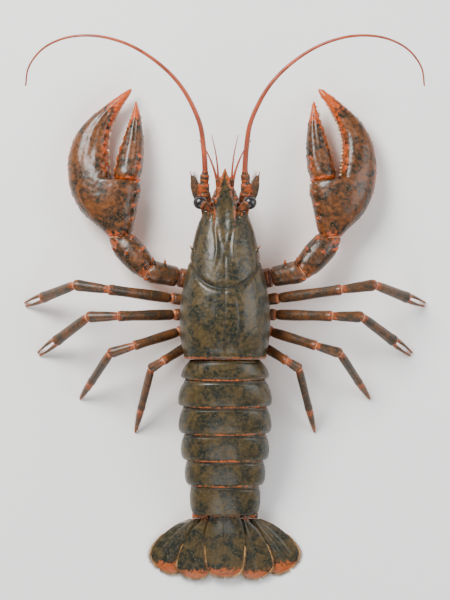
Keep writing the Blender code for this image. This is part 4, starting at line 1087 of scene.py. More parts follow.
def leaf(place, level, length, shift, lean):
    """One thin leaf, the points of its edge and its middle line."""
    share = np.linspace(0, 1, 18)
    half = smooth(LEAF_HALF_WIDTH, share)
    fall = -2.0 + (length + 2.0) * share
    centre = np.stack([13.5 + shift + (1.5 + lean) * share, place - 2 + 0.55 * fall, level - fall], 1)
    c, s = full_turn(LEAF_SIDES, 2.0)
    across, up = vec(1, 0, 0), vec(0, 0.92, 0.4)
    grid = centre[:, None] + across * (half[:, None] * c)[..., None] + up * (0.5 * s)[None, :, None]
    return skin(grid), np.concatenate([grid[:, LEAF_SIDES // 2], grid[::-1, 0]]), centre


swim_points, swim_lies = [], []
for number, length in enumerate(SWIMMERET_LENGTH, 1):
    middle = (SEGMENT_ENDS[number - 1] + SEGMENT_ENDS[number]) / 2
    level = smooth(ABDOMEN_BELLY, middle) - 1
    leaves = []
    for shift, lean in ((-1.6, -0.6), (2.0, 1.6)):
        body, edge, centre = leaf(middle, level, length, shift, lean)
        leaves.append(body)
        points = spread(edge, 0.6)
        keep = points[:, 2] < level - 0.3 * length
        swim_points.append(points[keep])
        swim_lies.append((unit(points - centre[nearest(points, centre)]) + vec(0, 0.3, -0.7))[keep])
    both(dress, f"swimmerets_{number}_SIDE", join(leaves), BELLY, "underside", nodes=[f"abdomen_{number}"],
         warm=0.3, pale=0.3)
swim_points, swim_lies = np.concatenate(swim_points), np.concatenate(swim_lies)
both(fringe, "swimmeret_fringe_SIDE", swim_points, swim_lies, 2.2, 0.11, 0.16, 5)
print("swimmerets:", len(swim_points), "bristles a side")


# %% [markdown]
# ## Tail fan
# A middle plate, the telson, and two blades on each side, all thin, ridged and edged with a dense fringe. A
# blade is drawn in rows from its root to its rounded end. The outer blade has a toothed seam across it, where
# its soft end folds.

# %% Sizes of the fan
TELSON_DOME = 5.0
TELSON_DOME_END = 0.35
TELSON_SHAPE = ((0.0, 11.0), (0.06, 11.4), (0.14, 12.6), (0.35, 14.6), (0.6, 14.2), (0.8, 13.2), (0.92, 11.4),
                (0.98, 8.0), (1.0, 4.5))
INNER_BLADE_SHAPE = ((0.0, 3.6), (0.08, 4.2), (0.25, 8.2), (0.5, 11.2), (0.75, 12.2), (0.9, 11.0),
                     (0.97, 7.5), (1.0, 4.0))
OUTER_BLADE_SHAPE = ((0.0, 3.4), (0.08, 4.4), (0.25, 9.0), (0.5, 12.6), (0.72, 13.6), (0.88, 12.4),
                     (0.97, 8.5), (1.0, 4.5))
FAN = (
    ("telson", vec(0, 254.15, 16.5), vec(0, 299.0, 6.8), TELSON_SHAPE, 2.6, ()),
    ("uropod_inner", vec(13.4, 257.0, 12.2), vec(25.5, 299.5, 3.8), INNER_BLADE_SHAPE, 1.8, (0.0,)),
    ("uropod_outer", vec(20.6, 257.0, 8.2), vec(47.5, 293.0, 0.9), OUTER_BLADE_SHAPE, 1.8, (0.0, 0.42)),
)
SEAM_PLACE = 0.72
SEAM_BOW = 0.06
TELSON_SPINE = ((11.6, 287.0, 8.6), (14.9, 293.2, 7.6), 0.9)
PROTOPOD_SHAPE = (((14.5, 242, 12.5), 5.0, 3.5), ((16.4, 250, 11.2), 7.2, 4.6),
                  ((17.0, 256.7, 10.4), 7.4, 4.4))
print("tail fan:", [row[0] for row in FAN])

# %% One blade
BLADE_POINTS = 41
BLADE_ROWS = 60
BLADE_END_ROWS = 16
BLADE_TIP = ((1.006, 0.8), (1.011, 0.5), (1.014, 0.15))
BLADE_THINNING = 0.45
SEAM_COLUMNS = np.arange(4, 37, 2)


def blade(root, end, shape, thickness, ridges, seam, dome):
    """A ridged blade, the line and outward directions of its free edge, and its seam with the way it runs."""
    along = unit(end - root)
    across = unit(np.cross(unit(along * vec(1, 1, 0)), vec(0, 0, 1)))
    across = across * np.sign(across[0])
    share = np.unique(np.concatenate([np.linspace(0, 1, BLADE_ROWS), np.linspace(0.9, 1, BLADE_END_ROWS)]))
    tip_share, tip_width = np.array(BLADE_TIP).T
    half = np.concatenate([smooth(shape, share), smooth(shape, 1.0) * tip_width])
    share = np.concatenate([share, tip_share])
    down = share[:, None]
    x = np.cos(np.linspace(0, math.pi, BLADE_POINTS))
    thin = thickness * (1 - BLADE_THINNING * np.minimum(down, 1))
    body = (1 - np.abs(x)[None] ** 3) * ramp(tip_share[-1], 0.93, down)
    top = 0.15 + (0.15 + 0.72 * thin) * body
    for place in ridges or (0.0,):
        top = top + (0.75 if ridges else -0.5) * bell(x[None], place, 0.1) * body * ramp(0.95, 0.7, down)
    if seam:
        bent = down + SEAM_BOW * x[None] ** 2
        top = top - 0.4 * bell(bent, SEAM_PLACE + 0.015, 0.012) * body
        top = top + 0.35 * bell(bent, SEAM_PLACE, 0.02) * body
    top = top + dome * np.maximum(0, 1 - down / TELSON_DOME_END) ** 2 * (1 - x[None] ** 2)
    height = np.concatenate([top, (-0.5 * thin * body)[:, ::-1][:, 1:-1]], axis=1)
    turned = ramp(0.0, 0.08, down)
    side = vec(1, 0, 0) * (1 - turned) + across * turned
    centre = root + (end - root) * down
    outwards = half[:, None] * np.concatenate([x, x[::-1][1:-1]])
    grid = centre[:, None] + side[:, None] * outwards[..., None]
    grid[..., 2] += height
    free, last = share > 0.5, BLADE_POINTS - 1
    edge = np.concatenate([grid[free][:, 0], grid[free][::-1, last]])
    out = np.concatenate([(grid[:, 0] - centre)[free], (grid[:, last] - centre)[free][::-1]])
    rows = np.argmin(np.abs(down - (SEAM_PLACE - SEAM_BOW * x[None, SEAM_COLUMNS] ** 2)), axis=0)
    return skin(grid), edge, unit(unit(out) * 0.5 + along), grid[rows, SEAM_COLUMNS], along


# %% Five blades with their fringes
TELSON_CORNERS = [thorn(*TELSON_SPINE), mirrored(thorn(*TELSON_SPINE))]
FRINGE_LAYERS = ((3.6, -0.05), (2.6, 0.08))
for name, root, end, shape, thickness, ridges in FAN:
    telson = name == "telson"
    toothed = name == "uropod_outer"
    blade_skin, edge, lies, seam_points, along = blade(root, end, shape, thickness, ridges, toothed,
                                                       TELSON_DOME if telson else 0.0)
    points = spread(edge, 0.28)
    lies = lies[nearest(points, edge)]
    p = blade_skin[0]
    blade_skin = raised(blade_skin, 0.05 * wobble(p, 2.5, 4.0))
    if telson:
        blade_skin = join([blade_skin] + TELSON_CORNERS)
        p = blade_skin[0]
    share = (p[:, 1] - root[1]) / (end[1] - root[1])
    streaks = wobble(p * vec(1, 0.25, 1), 1.1, 6.0)
    warm = 0.95 * ramp(0.8, 1.03, share + 0.05 * streaks) + 0.35 * ramp(0.1, 0.0, share)
    for label, side in (("", 1),) if telson else (("_left", 1), ("_right", -1)):
        dress(f"{name}_blade{label}", blade_skin, SHELL, "shell", [name + label], side, warm=warm)
        for layer, (reach, dip) in enumerate(FRINGE_LAYERS, 1):
            fringe(f"{name}_fringe_{layer}{label}", points, lies + vec(0, 0, dip), reach, 0.15, 0.14,
                   10 + layer, side=side, slot="shell")
        if toothed:
            values = {"Pointed": True, "Unevenness": 0.2, "Finish": SHELL}
            run_tree(f"seam_teeth{label}", TEETH, seam_points, values, side=side, slot="shell",
                     nodes=[name + label], reach=1.6, girth=0.45, lie=along + vec(0, 0, 0.25))
stalk = limb(PROTOPOD_SHAPE, None, vec(0, 1, 0), power=2.2, edge=1.2)
both(dress, "tail_stalk_SIDE", stalk, SHELL, "shell", nodes=["abdomen_6"], warm=0.4)
print("tail fan: 5 blades,", len(points), "bristles in each row of the last")


# %% [markdown]
# ## Walking legs
# Four pairs, each of slim shells with soft skin between them: a long thigh that rises, a knee, a shin that
# falls to the floor. The first two pairs end in small pincers and the last two in single points. One function
# draws a leg from its root, its knee and its toe, and notes each joint, where a band of skin goes.

# %% Sizes of the legs
LEG_SIZE = vec(4.3, 5.0)
MERUS_SHARE = 0.72
MERUS_RISE = 4.5
ISCHIUM_SHARE = 0.26
ISCHIUM_RISE = 2.5
PROPODUS_SHARE = 0.66
ISCHIUM_SHAPE = ((0.3, 1.04), (0.6, 0.97), (0.88, 1.02), (0.97, 0.96))
MERUS_SHAPE = ((0.03, 0.84), (0.09, 0.95), (0.35, 1.04), (0.7, 1.0), (0.88, 1.07), (0.95, 1.13))
CARPUS_SHAPE = ((0.1, 0.86), (0.34, 0.99), (0.7, 1.09), (0.9, 1.17), (0.98, 1.08))
PROPODUS_SHAPE = ((0.02, 0.78), (0.07, 0.88), (0.18, 0.98), (0.5, 1.0), (0.84, 1.03), (0.95, 1.1))
WRIST_SHARE = vec(0.86, 0.8)
PINCER_HAND_SHARE = vec(0.95, 0.66)
PLAIN_HAND_SHARE = vec(0.72, 0.6)
PINCER_FINGER_SHARE = vec(0.4, 0.8)
PINCER_SPREAD = 2.2
FINGER_SHAPE = ((0.0, 1.0), (0.3, 0.86), (0.62, 0.62), (0.88, 0.36), (1.0, 0.24))
joint_skins = []
tufts = []


print("knee to toe:", [round(math.dist(leg["knee"], (*leg["toe"], 0))) for leg in WALKING_LEGS], "mm")


# %% Stations, bands of skin and a keel
def stations(start, end, size_from, size_to, shape):
    """Stations along one joint, thickened as shape says at each share of its length."""
    return [(start + (end - start) * share, *((size_from + (size_to - size_from) * share) * factor))
            for share, factor in shape]


def knuckle(point, direction, size, length=2.6, factor=0.86):
    """Notes a band of soft skin inside a joint."""
    half = direction * length / 2
    size = np.asarray(size) * factor
    rows = [(point - half, *(size * 0.9)), (point, *size), (point + half, *(size * 0.9))]
    joint_skins.append(limb(rows, direction, direction, sides=24, spacing=0.4, edge=0.5))


def shin_keel(_, angle):
    """A faint keel above and below, and a flat along each side, as on the real shell."""
    return 1 + 0.06 * bell(np.abs(np.sin(angle)), 1.0, 0.12) - 0.04 * bell(np.sin(angle), 0.0, 0.3)


# %% A finger
def finger(start, toe, offset, size, along, bowed):
    """A pointed finger that ends on the floor."""
    rows = []
    for share, factor in FINGER_SHAPE:
        bow = offset * (1 + bowed * 0.12 * math.sin(math.pi * share) - 0.35 * share)
        rows.append((start + (toe + vec(0, 0, 0.5) - start) * share + bow, *np.maximum(size * factor, 0.8)))
    return limb(rows, along, along, sides=20, spacing=0.6, edge=0.5, power=2.0)


# %% One walking leg, from its root to its tip
def walking_leg(number, leg, root, direction, root_size):
    """Draws and places one pair of legs."""
    build, pincer = leg["build"], leg["pincer"]
    knee, toe = vec(*leg["knee"]), vec(*leg["toe"], 0.0)
    merus_end = root + (knee - root) * MERUS_SHARE
    merus_end[2] = knee[2] + MERUS_RISE
    finger_root = knee + (toe - knee) * PROPODUS_SHARE
    ischium_end = root + (merus_end - root) * ISCHIUM_SHARE
    ischium_end[2] = root[2] + ISCHIUM_RISE
    full = LEG_SIZE * build
    wrist = full * WRIST_SHARE
    hand = full * (PINCER_HAND_SHARE if pincer else PLAIN_HAND_SHARE)
    joint, end_size = wrist * 0.9, hand * 0.94
    along = unit(toe - knee)
    across = unit(np.cross(along, vec(0, 0, 1)))
    bend, cut = halfway(root, ischium_end, merus_end), halfway(ischium_end, merus_end, knee)
    fold = halfway(merus_end, knee, toe)
    start = root + direction * (GAP / 2)
    ischium = [(start, *(root_size * 0.96))] + stations(start, ischium_end, root_size, full, ISCHIUM_SHAPE)
    merus = stations(ischium_end, merus_end, full, wrist, MERUS_SHAPE)
    merus.append((merus_end - cut * (GAP / 2), *(joint * 1.1)))
    carpus = [(merus_end + cut * (GAP / 2), *(joint * 0.9))]
    carpus += stations(merus_end, knee, wrist, wrist, CARPUS_SHAPE)
    propodus = stations(knee, finger_root, wrist, hand, PROPODUS_SHAPE)
    propodus.append((finger_root - along * (GAP / 2), *end_size))
    upper = [limb(ischium, direction, bend), limb(merus, bend, cut, keel=shin_keel)]
    lower = [limb(carpus, cut, fold), limb(propodus, fold, along, keel=shin_keel)]
    tip_start = finger_root + along * (GAP / 2)
    if pincer:
        offset, size = across * end_size[0] * 0.52, end_size * PINCER_FINGER_SHARE
        fixed = finger(finger_root - along * 4, toe, offset, size, along, PINCER_SPREAD)
        lower[1] = fused([lower[1], fixed], voxel=0.45, relax=4)
        tip = finger(tip_start, toe, -offset, size, along, PINCER_SPREAD)
        last_skin = (finger_root - across * end_size[0] * 0.4, along, end_size * vec(0.55, 0.85))
    else:
        tip = finger(tip_start, toe, vec(0, 0, 0), end_size, along, 0.0)
        last_skin = (finger_root, along, end_size)
    for row in ((root, direction, root_size), (ischium_end, bend, full * 0.98), (merus_end, cut, joint),
                (knee, fold, wrist * 0.98), last_skin):
        knuckle(*row)
    tufts.append((finger_root, toe, along, across, end_size * (0.98 if pincer else 0.95, 0.8)))
    ends = [root, ischium_end, merus_end, knee, finger_root]
    for part, pieces in (("upper", upper), ("lower", lower), ("tip", [tip])):
        piece = join(pieces)
        warm = 0.85 * tip_glow(piece[0], ends, 4.5 * build) + 0.5 * ramp(14, 0, piece[0][:, 2])
        both(dress, f"leg_{number}_{part}_shell_SIDE", piece, LIMB, "limb",
             nodes=[f"leg_{number}_{part}_SIDE"], warm=warm)


# %% Four pairs of legs
limbs = limb_roots()
for number, (leg, start) in enumerate(zip(WALKING_LEGS, limbs[1:]), 1):
    walking_leg(number, leg, *start)
print("walking legs: 4 pairs, with", len(joint_skins), "bands of skin a side")

# %% Tufts on the legs' ends
TUFT_ROWS = 22
TUFT_COUNT = 12
FINGER_TAPER = ((0, 1.0), (0.3, 0.88), (0.62, 0.66), (0.88, 0.42), (1, 0.3))
points, lies = [], []
for finger_root, toe, along, across, size in tufts:
    up = np.cross(across, along)
    for share in np.linspace(0.02, 0.85, TUFT_ROWS):
        shrink = smooth(FINGER_TAPER, share)
        for k in range(TUFT_COUNT):
            angle = 2 * math.pi * (k + 0.5 * (round(share * 30) % 2)) / TUFT_COUNT
            rim = (across * size[0] * math.cos(angle) + up * size[1] * math.sin(angle)) * shrink
            points.append(finger_root + (toe + vec(0, 0, 0.6) - finger_root) * share + rim)
            lies.append(unit(rim) * 0.55 + along)
both(fringe, "leg_tufts_SIDE", points, lies, 1.7, 0.1, 0.25, 21)
print("leg tufts:", len(points), "bristles a side")


# %% [markdown]
# ## Claw arms and wrists
# The claw hangs on a stout arm with spines at its far end and on a knobbly wrist. Each is made of tubes along
# named stations, fused with its spines, and the wrist takes the claw's warmer finish.

# %% Sizes of the arm
WRIST = vec(78.0, 51.0, 21.3)
ARM_SIZE = vec(7.6, 8.2)
WRIST_SIZE = vec(7.2, 6.8)
KNUCKLE_SIZES = (vec(9.0, 8.6), vec(10.2, 9.2))
ARM_ISCHIUM_SHARE = 0.34
ARM_ISCHIUM_SHAPE = ((0.4, 1.03), (0.8, 0.98), (0.95, 0.94))
ARM_MERUS_SHAPE = ((0.05, 0.92), (0.14, 1.0), (0.5, 1.04), (0.86, 1.12))
ARM_CARPUS_SHAPE = ((0.22, 1.02), (0.5, 1.08), (0.8, 1.0))
ARM_SPINES = (((52.0, 70.0, 33.0), (53.0, 64.5, 37.5), 1.7), ((56.0, 81.0, 33.0), (59.5, 82.0, 38.5), 1.7),
              ((44.0, 72.0, 29.5), (44.0, 66.5, 33.0), 1.7))
WRIST_SPINES = (((62.0, 62.0, 31.0), (58.5, 57.0, 35.5), 1.9), ((70.0, 54.0, 28.0), (66.0, 48.5, 31.5), 1.9),
                ((72.0, 64.0, 31.5), (73.0, 60.5, 37.0), 1.9), ((79.5, 61.0, 27.0), (83.5, 58.0, 31.5), 1.9))
CLAW_TIP = vec(72.5, -57.5, 12.6)
CLAW_ROLL = math.radians(10)


print("wrist to claw tip:", round(math.dist(WRIST, CLAW_TIP)), "mm")


# %% The claw's own directions
def claw_axes():
    """The claw's directions: forwards, towards the body and up through the palm."""
    forwards = unit(CLAW_TIP - WRIST)
    inwards = unit(np.cross(vec(0, 0, 1), forwards))
    inwards = inwards * (-1 if inwards[0] > 0 else 1)
    upwards = np.cross(inwards, forwards)
    upwards = upwards * (-1 if upwards[2] < 0 else 1)
    turned = inwards * math.cos(CLAW_ROLL) + upwards * math.sin(CLAW_ROLL)
    lifted = upwards * math.cos(CLAW_ROLL) - inwards * math.sin(CLAW_ROLL)
    return forwards, turned, lifted


FORWARDS, INWARDS, UPWARDS = claw_axes()


def claw_point(u, v, w):
    """Points at u along the claw, v towards the body and w up, for numbers or arrays."""
    u, v, w = np.broadcast_arrays(u, v, w)
    return WRIST + u[..., None] * FORWARDS + v[..., None] * INWARDS + w[..., None] * UPWARDS


print("the claw points", FORWARDS.round(2))

# %% Arms and wrists
root, direction, root_size = limbs[0]
start = root + direction * (GAP / 2)
ischium_end = root + (ARM_END - root) * ARM_ISCHIUM_SHARE
cut = unit(WRIST - ischium_end)
lean = halfway(root, ischium_end, ARM_END)
ischium = [(start, *(root_size * 0.97))]
ischium += stations(start, ischium_end, root_size, ARM_SIZE, ARM_ISCHIUM_SHAPE)
merus = stations(ischium_end, ARM_END, ARM_SIZE, ARM_SIZE, ARM_MERUS_SHAPE)
merus.append((ARM_END - cut * (GAP / 2), *(ARM_SIZE * vec(0.93, 0.9))))
carpus = [(ARM_END + cut * (GAP / 2), *(ARM_SIZE * vec(0.9, 0.88)))]
carpus += stations(ARM_END, WRIST, *KNUCKLE_SIZES, ARM_CARPUS_SHAPE)
carpus.append((WRIST - FORWARDS * (GAP / 2), *WRIST_SIZE))
arm_tubes = [limb(ischium, direction, lean, sides=36), limb(merus, lean, cut, sides=36)]
wrist_tube = limb(carpus, cut, FORWARDS, sides=40)
knuckle(root, direction, root_size, 3.0)
knuckle(ARM_END, cut, ARM_SIZE * 0.95, 4.0)
knuckle(WRIST, FORWARDS, WRIST_SIZE, 4.0, 0.92)
for name, tubes, finish, slot, (spines, tips), ends in (
        ("claw_arm", arm_tubes, LIMB, "limb", thorns(ARM_SPINES), (root, ischium_end, ARM_END)),
        ("claw_wrist", [wrist_tube], CLAW, "claw", thorns(WRIST_SPINES), (ARM_END, WRIST))):
    piece = fused(tubes + spines, voxel=0.55, relax=4)
    p = piece[0]
    piece = raised(piece, 0.14 * wobble(p, 3.0) + 0.2 * wobble(p, 9.0))
    warm = tip_glow(p, tips, 3.6) + 0.7 * tip_glow(p, ends, 8.0)
    both(dress, f"{name}_shell_SIDE", piece, finish, slot, nodes=[f"{name}_SIDE"], warm=warm)
    print(name, len(p), "points")


# %% [markdown]
# ## Claws
# The left claw is the crusher, heavy, with blunt teeth like molars. The right one is the cutter, slimmer,
# with a row of small sharp ones. Both follow one set of curves: an outer and an inner edge and a thickness
# along the claw. The palm and its fixed finger are fused to one skin with the palm's spines, the thumb is a
# second skin, and the teeth are grown along the biting edges by the tree for teeth. The shell swells into a
# gum round the foot of each tooth, so none looks stuck on.

# %% Sizes of the claws
CLAW_LENGTH = 110.0
HINGE_PLACE = 42.0
CLAW_OUTER_EDGE = ((0, -7.0), (6, -13.0), (13, -21.0), (22, -28.0), (34, -33.5), (48, -36.0), (62, -35.5),
                   (75, -31.5), (87, -24.0), (98, -13.0), (106, -3.5), (110, 2.5))
PALM_INNER_EDGE = ((0, 7.0), (6, 9.6), (14, 11.0), (24, 12.4), (34, 14.2), (39, 14.0), (42, 12.4))
FINGER_BLEND = ((42, 1.0), (48, 0.93), (56, 0.62), (66, 0.2), (74, 0.0))
FINGER_CORNER = 5.0
CLAW_SQUARENESS = 2.3
FINGER_BITE_EDGE = ((42, -9.0), (50, -10.5), (62, -12.0), (74, -11.5), (86, -8.0), (98, -2.0), (106, 3.2),
                    (110, 4.6))
CLAW_HALF_THICKNESS = ((0, 6.8), (8, 10.0), (20, 13.6), (34, 15.0), (46, 14.2), (60, 12.0), (76, 9.5),
                       (92, 6.8), (104, 4.0), (110, 1.4))
THUMB_OUTER_EDGE = ((42, 11.2), (45.5, 13.4), (52, 14.8), (62, 15.2), (76, 14.2), (88, 12.0), (97, 9.6),
                    (101, 8.2))
THUMB_BITE_EDGE = ((42, -4.0), (45.5, -5.4), (52, -4.2), (62, -2.4), (76, 1.2), (88, 4.6), (97, 6.6),
                   (101, 7.2))
THUMB_HALF_THICKNESS = ((42, 9.4), (45.5, 11.0), (52, 10.6), (62, 9.4), (76, 7.2), (88, 5.0), (97, 2.8),
                        (101, 1.0))
THUMB_END = 101.0
CRUSHER_FINGER_TEETH = ((47.4, 2.4, 3.0), (54.6, 2.6, 3.4), (62.2, 2.4, 3.2), (69.6, 2.0, 2.6),
                        (76.4, 1.6, 2.2))
CRUSHER_THUMB_TEETH = ((50, 1.6, 2.6), (58, 2.0, 3.0), (66, 1.8, 2.6), (73.5, 1.4, 2.0))
PALM_SPINES = (12, 22, 32, 40)
THUMB_SPINES = (50, 58)
FINGER_OVERLAP = 9.0
ROOT_FADE = 20.0
TIP_FADE = 30.0
CLAWS = {"left": {"width": 1.12, "thickness": 1.02, "blunt": True},
         "right": {"width": 1.0, "thickness": 0.99, "blunt": False}}
print("claws:", CLAW_LENGTH, "mm long, hinged at", HINGE_PLACE)


# %% Skins of a claw
def claw_skin(u, outer, inner, half_thickness, sides=72):
    """A closed skin between an outer and an inner edge."""
    c, s = full_turn(sides, CLAW_SQUARENESS)
    middle, half = ((outer + inner) / 2)[:, None], ((inner - outer) / 2)[:, None]
    return skin(claw_point(u[:, None], middle + half * c, half_thickness[:, None] * s))


def finger_skin(u, outer, half_thickness, sides=84):
    """The fixed finger, which keeps the palm's curve near the hinge, so that no step runs across the claw."""
    c, s = full_turn(sides, CLAW_SQUARENESS)
    inner = smooth(FINGER_BITE_EDGE, np.maximum(u, HINGE_PLACE))
    middle, half = ((outer + inner) / 2)[:, None], ((inner - outer) / 2)[:, None]
    v = middle + half * c
    palm_inner = smooth(PALM_INNER_EDGE, np.minimum(u, HINGE_PLACE))[:, None]
    palm_middle, palm_half = (outer[:, None] + palm_inner) / 2, (palm_inner - outer[:, None]) / 2
    across = np.minimum(1.0, np.abs(v - palm_middle) / palm_half)
    kept = (1 - across**CLAW_SQUARENESS) ** (1 / CLAW_SQUARENESS)
    kept = kept * (1 - np.maximum(c, 0) ** FINGER_CORNER) ** (1 / FINGER_CORNER)
    blend = smooth(FINGER_BLEND, u)[:, None]
    level = np.sign(s) * ((1 - blend) * np.abs(s) + blend * kept)
    return skin(claw_point(u[:, None], v, half_thickness[:, None] * level))


# %% Spines of a claw
def edge_spines(places, edge_table, ahead, beyond, root_level, tip_level, radius):
    """Spines along a claw's inner edge, and their tips."""
    rows = []
    for place in places:
        edge = smooth(edge_table, place)
        tip = claw_point(place + ahead, edge + beyond, tip_level)
        rows.append((claw_point(place, edge - 3.0, root_level), tip, radius))
    return thorns(rows)


# %% Palm and thumb
def palm_skin(width, thickness):
    """The palm with its fixed finger and its spines, fused, and the spines' tips."""
    u = np.concatenate([vec(GAP / 2, 0.6), np.linspace(1.5, HINGE_PLACE, 60)])
    share = np.minimum(1, u / ROOT_FADE)
    end = 1 - 0.05 * ramp(1.5, 0.0, u) - 0.03 * ramp(HINGE_PLACE - 1.2, HINGE_PLACE, u)
    outer = smooth(CLAW_OUTER_EDGE, u) * (1 + (width - 1) * share) * end
    half_thickness = smooth(CLAW_HALF_THICKNESS, u) * (1 + (thickness - 1) * share) * end
    palm = claw_skin(u, outer, smooth(PALM_INNER_EDGE, u) * end, half_thickness)
    u = np.linspace(HINGE_PLACE - FINGER_OVERLAP, CLAW_LENGTH, 100)
    grow = 1 + (width - 1) * np.minimum(1, (CLAW_LENGTH - u) / TIP_FADE)
    sunk = 1 - 0.06 * ramp(HINGE_PLACE - 3, HINGE_PLACE - FINGER_OVERLAP, u)
    outer = smooth(CLAW_OUTER_EDGE, u) * grow * sunk
    fixed = finger_skin(u, outer, smooth(CLAW_HALF_THICKNESS, u) * thickness * sunk)
    spines, tips = edge_spines(PALM_SPINES, PALM_INNER_EDGE, 3.0, 2.6, 5.5, 9.6, 1.9)
    return fused([palm, fixed] + spines, voxel=0.7, relax=7), tips


def thumb_skin(thickness):
    """The thumb with its spines, fused, and the spines' tips."""
    u = np.concatenate([vec(0.3, 0.7), np.linspace(1.4, THUMB_END - HINGE_PLACE, 80)]) + HINGE_PLACE
    end = 1 - 0.06 * ramp(HINGE_PLACE + 1.6, HINGE_PLACE + 0.3, u)
    bite, outer = smooth(THUMB_BITE_EDGE, u), smooth(THUMB_OUTER_EDGE, u)
    middle = (bite + outer) / 2
    body = claw_skin(u, middle + (bite - middle) * end, middle + (outer - middle) * end,
                     smooth(THUMB_HALF_THICKNESS, u) * thickness * end)
    spines, tips = edge_spines(THUMB_SPINES, THUMB_OUTER_EDGE, 2.6, 1.6, 4.0, 7.8, 1.6)
    return fused([body] + spines, voxel=0.6, relax=5), tips


def in_claw(points):
    """How far points are along the claw and towards the body."""
    away = points - WRIST
    return away @ FORWARDS, away @ INWARDS


# %% Teeth along the biting edges
def between(table, share, count):
    """Small teeth past the big ones, towards the finger's tip."""
    last = table[-1][0]
    return [(last + 4.2 + 3.1 * k, share * (1.25 - 0.07 * k), share * (1.35 - 0.08 * k))
            for k in range(count)]


CUTTER_SPACING = 5.2
CUTTER_START = 46.0
cutter = [(CUTTER_START + CUTTER_SPACING * k, 1.6 - 0.03 * k, 1.5 - 0.04 * k) for k in range(11)]
finer = [(CUTTER_START + CUTTER_SPACING * (k + 0.5), 0.9, 0.9) for k in range(10)]
TEETH_TABLES = {
    "left": {"palm": list(CRUSHER_FINGER_TEETH) + between(CRUSHER_FINGER_TEETH, 1.0, 7),
             "thumb": list(CRUSHER_THUMB_TEETH) + between(CRUSHER_THUMB_TEETH, 0.9, 6)},
    "right": {"palm": cutter + finer, "thumb": [(u - 1.3, r, g) for u, r, g in cutter[1:]] + finer[:9]},
}
BITES = {"palm": (FINGER_BITE_EDGE, 1), "thumb": (THUMB_BITE_EDGE, -1)}
print("teeth:", {label: [len(table) for table in tables.values()] for label, tables in TEETH_TABLES.items()})

# %% Carve, paint and place the claws
CLAW_PARTS = {
    "palm": {"low": CLAW_OUTER_EDGE, "high": FINGER_BITE_EDGE, "end": CLAW_LENGTH, "seed": 3.7, "bite": 3.0,
             "tip": (84, 108), "root": (7, 0, 0.6), "outside": 0.35},
    "thumb": {"low": THUMB_BITE_EDGE, "high": THUMB_OUTER_EDGE, "end": THUMB_END, "seed": 5.3, "bite": 2.6,
              "tip": (76, 99), "root": (47, 43, 0.7), "outside": 0.0},
}


# %% Relief of a claw
def gums(u, v, table, edge_table, blunt):
    """How much the shell swells round the foot of each tooth."""
    swell = sum((0.42 if blunt else 0.25) * girth * bell(u, place, 0.95 * girth) for place, _, girth in table)
    return swell * bell(v, smooth(edge_table, u), 3.0)


def claw_relief(piece, part, name, label, seed, blunt):
    """Height of the lengthwise grooves, the knobs of the edges, the gums and the fine unevenness."""
    u, v = in_claw(piece[0])
    low, high = smooth(part["low"], u), smooth(part["high"], u)
    share = np.clip((v - low) / (high - low), 0, 1)
    facing = np.abs(normals(piece) @ UPWARDS)
    grooves = 0.45 * bell(share, 0.62, 0.11) + 0.3 * bell(share, 0.30, 0.09)
    heights = -grooves * window(u, 50, 60, part["end"] - 18, part["end"]) * facing
    heights += 0.28 * wobble(piece[0], 11.0, seed) + 0.16 * wobble(piece[0], 3.0, seed + 4)
    knobs = ramp(0.25, 0.55, wobble(piece[0], 2.4, seed + 9))
    heights += 0.5 * knobs * (1 - facing) * ramp(2, 12, u)
    return heights + gums(u, v, TEETH_TABLES[label][name], BITES[name][0], blunt)


# %% One claw
def claw(label, side, width, thickness, blunt):
    """Draws and places the palm and the thumb of one claw."""
    for name, (piece, tips) in (("palm", palm_skin(width, thickness)), ("thumb", thumb_skin(thickness))):
        part = CLAW_PARTS[name]
        piece = raised(piece, claw_relief(piece, part, name, label, side * part["seed"], blunt))
        p, facing = piece[0], normals(piece)
        u, v = in_claw(p)
        bite = bell(v, smooth(BITES[name][0], u), part["bite"]) * ramp(44, 50, u)
        root_low, root_high, root_glow = part["root"]
        warm = tip_glow(p, tips, 4.0) + 0.9 * ramp(*part["tip"], u) + 0.5 * bite
        warm += root_glow * ramp(root_low, root_high, u)
        warm += part["outside"] * ramp(-0.55, -0.9, facing @ INWARDS)
        dress(f"claw_{name}_shell_{label}", piece, CLAW, "claw", [f"claw_{name}_{label}"], side, warm,
              ramp(-0.1, -0.75, facing[:, 2]))
        print("claw", name, label, len(p), "points")


for label, side in SIDES.items():
    claw(label, side, **CLAWS[label])


# %% Set the teeth and the cutter's bristles
for label, side in SIDES.items():
    blunt = CLAWS[label]["blunt"]
    values = {"Pointed": not blunt, "Unevenness": 1.5 if blunt else 0.3, "Finish": TOOTH}
    for name, (edge_table, facing) in BITES.items():
        u, reach, girth = np.array(TEETH_TABLES[label][name]).T
        inset = 0.05 * facing * girth if blunt else -0.3 * facing
        points = claw_point(u, smooth(edge_table, u) + inset, 0.0)
        run_tree(f"claw_{name}_teeth_{label}", TEETH, points, values, side=side, slot="claw",
                 nodes=[f"claw_{name}_{label}"], lie=INWARDS * facing,
                 reach=0.9 * reach if blunt else reach + 0.9, girth=girth)
        if not blunt:
            u = np.repeat(np.linspace(47, 94, 110), 2)
            high = np.tile(vec(-1.0, 1.0), 110) * (1.4 + 1.2 * np.abs(np.sin(1.7 * u)))
            points = claw_point(u, smooth(edge_table, u) - 0.25 * facing, high)
            lies = INWARDS * facing + 0.3 * np.sign(high)[:, None] * UPWARDS + 0.5 * FORWARDS
            fringe(f"claw_{name}_tufts", points, lies, 2.3, 0.11, 0.3, 41, side=side, slot="claw")
            print("cutter's", name, len(points), "bristles")


# %% [markdown]
# ## Skin in the joints
# Between two hard shells, soft orange skin bends. Every limb has noted its joints, so one piece a side holds
# a short band of skin for each. It reaches a little way inside both neighbours, so that nothing shows through
# the gap.

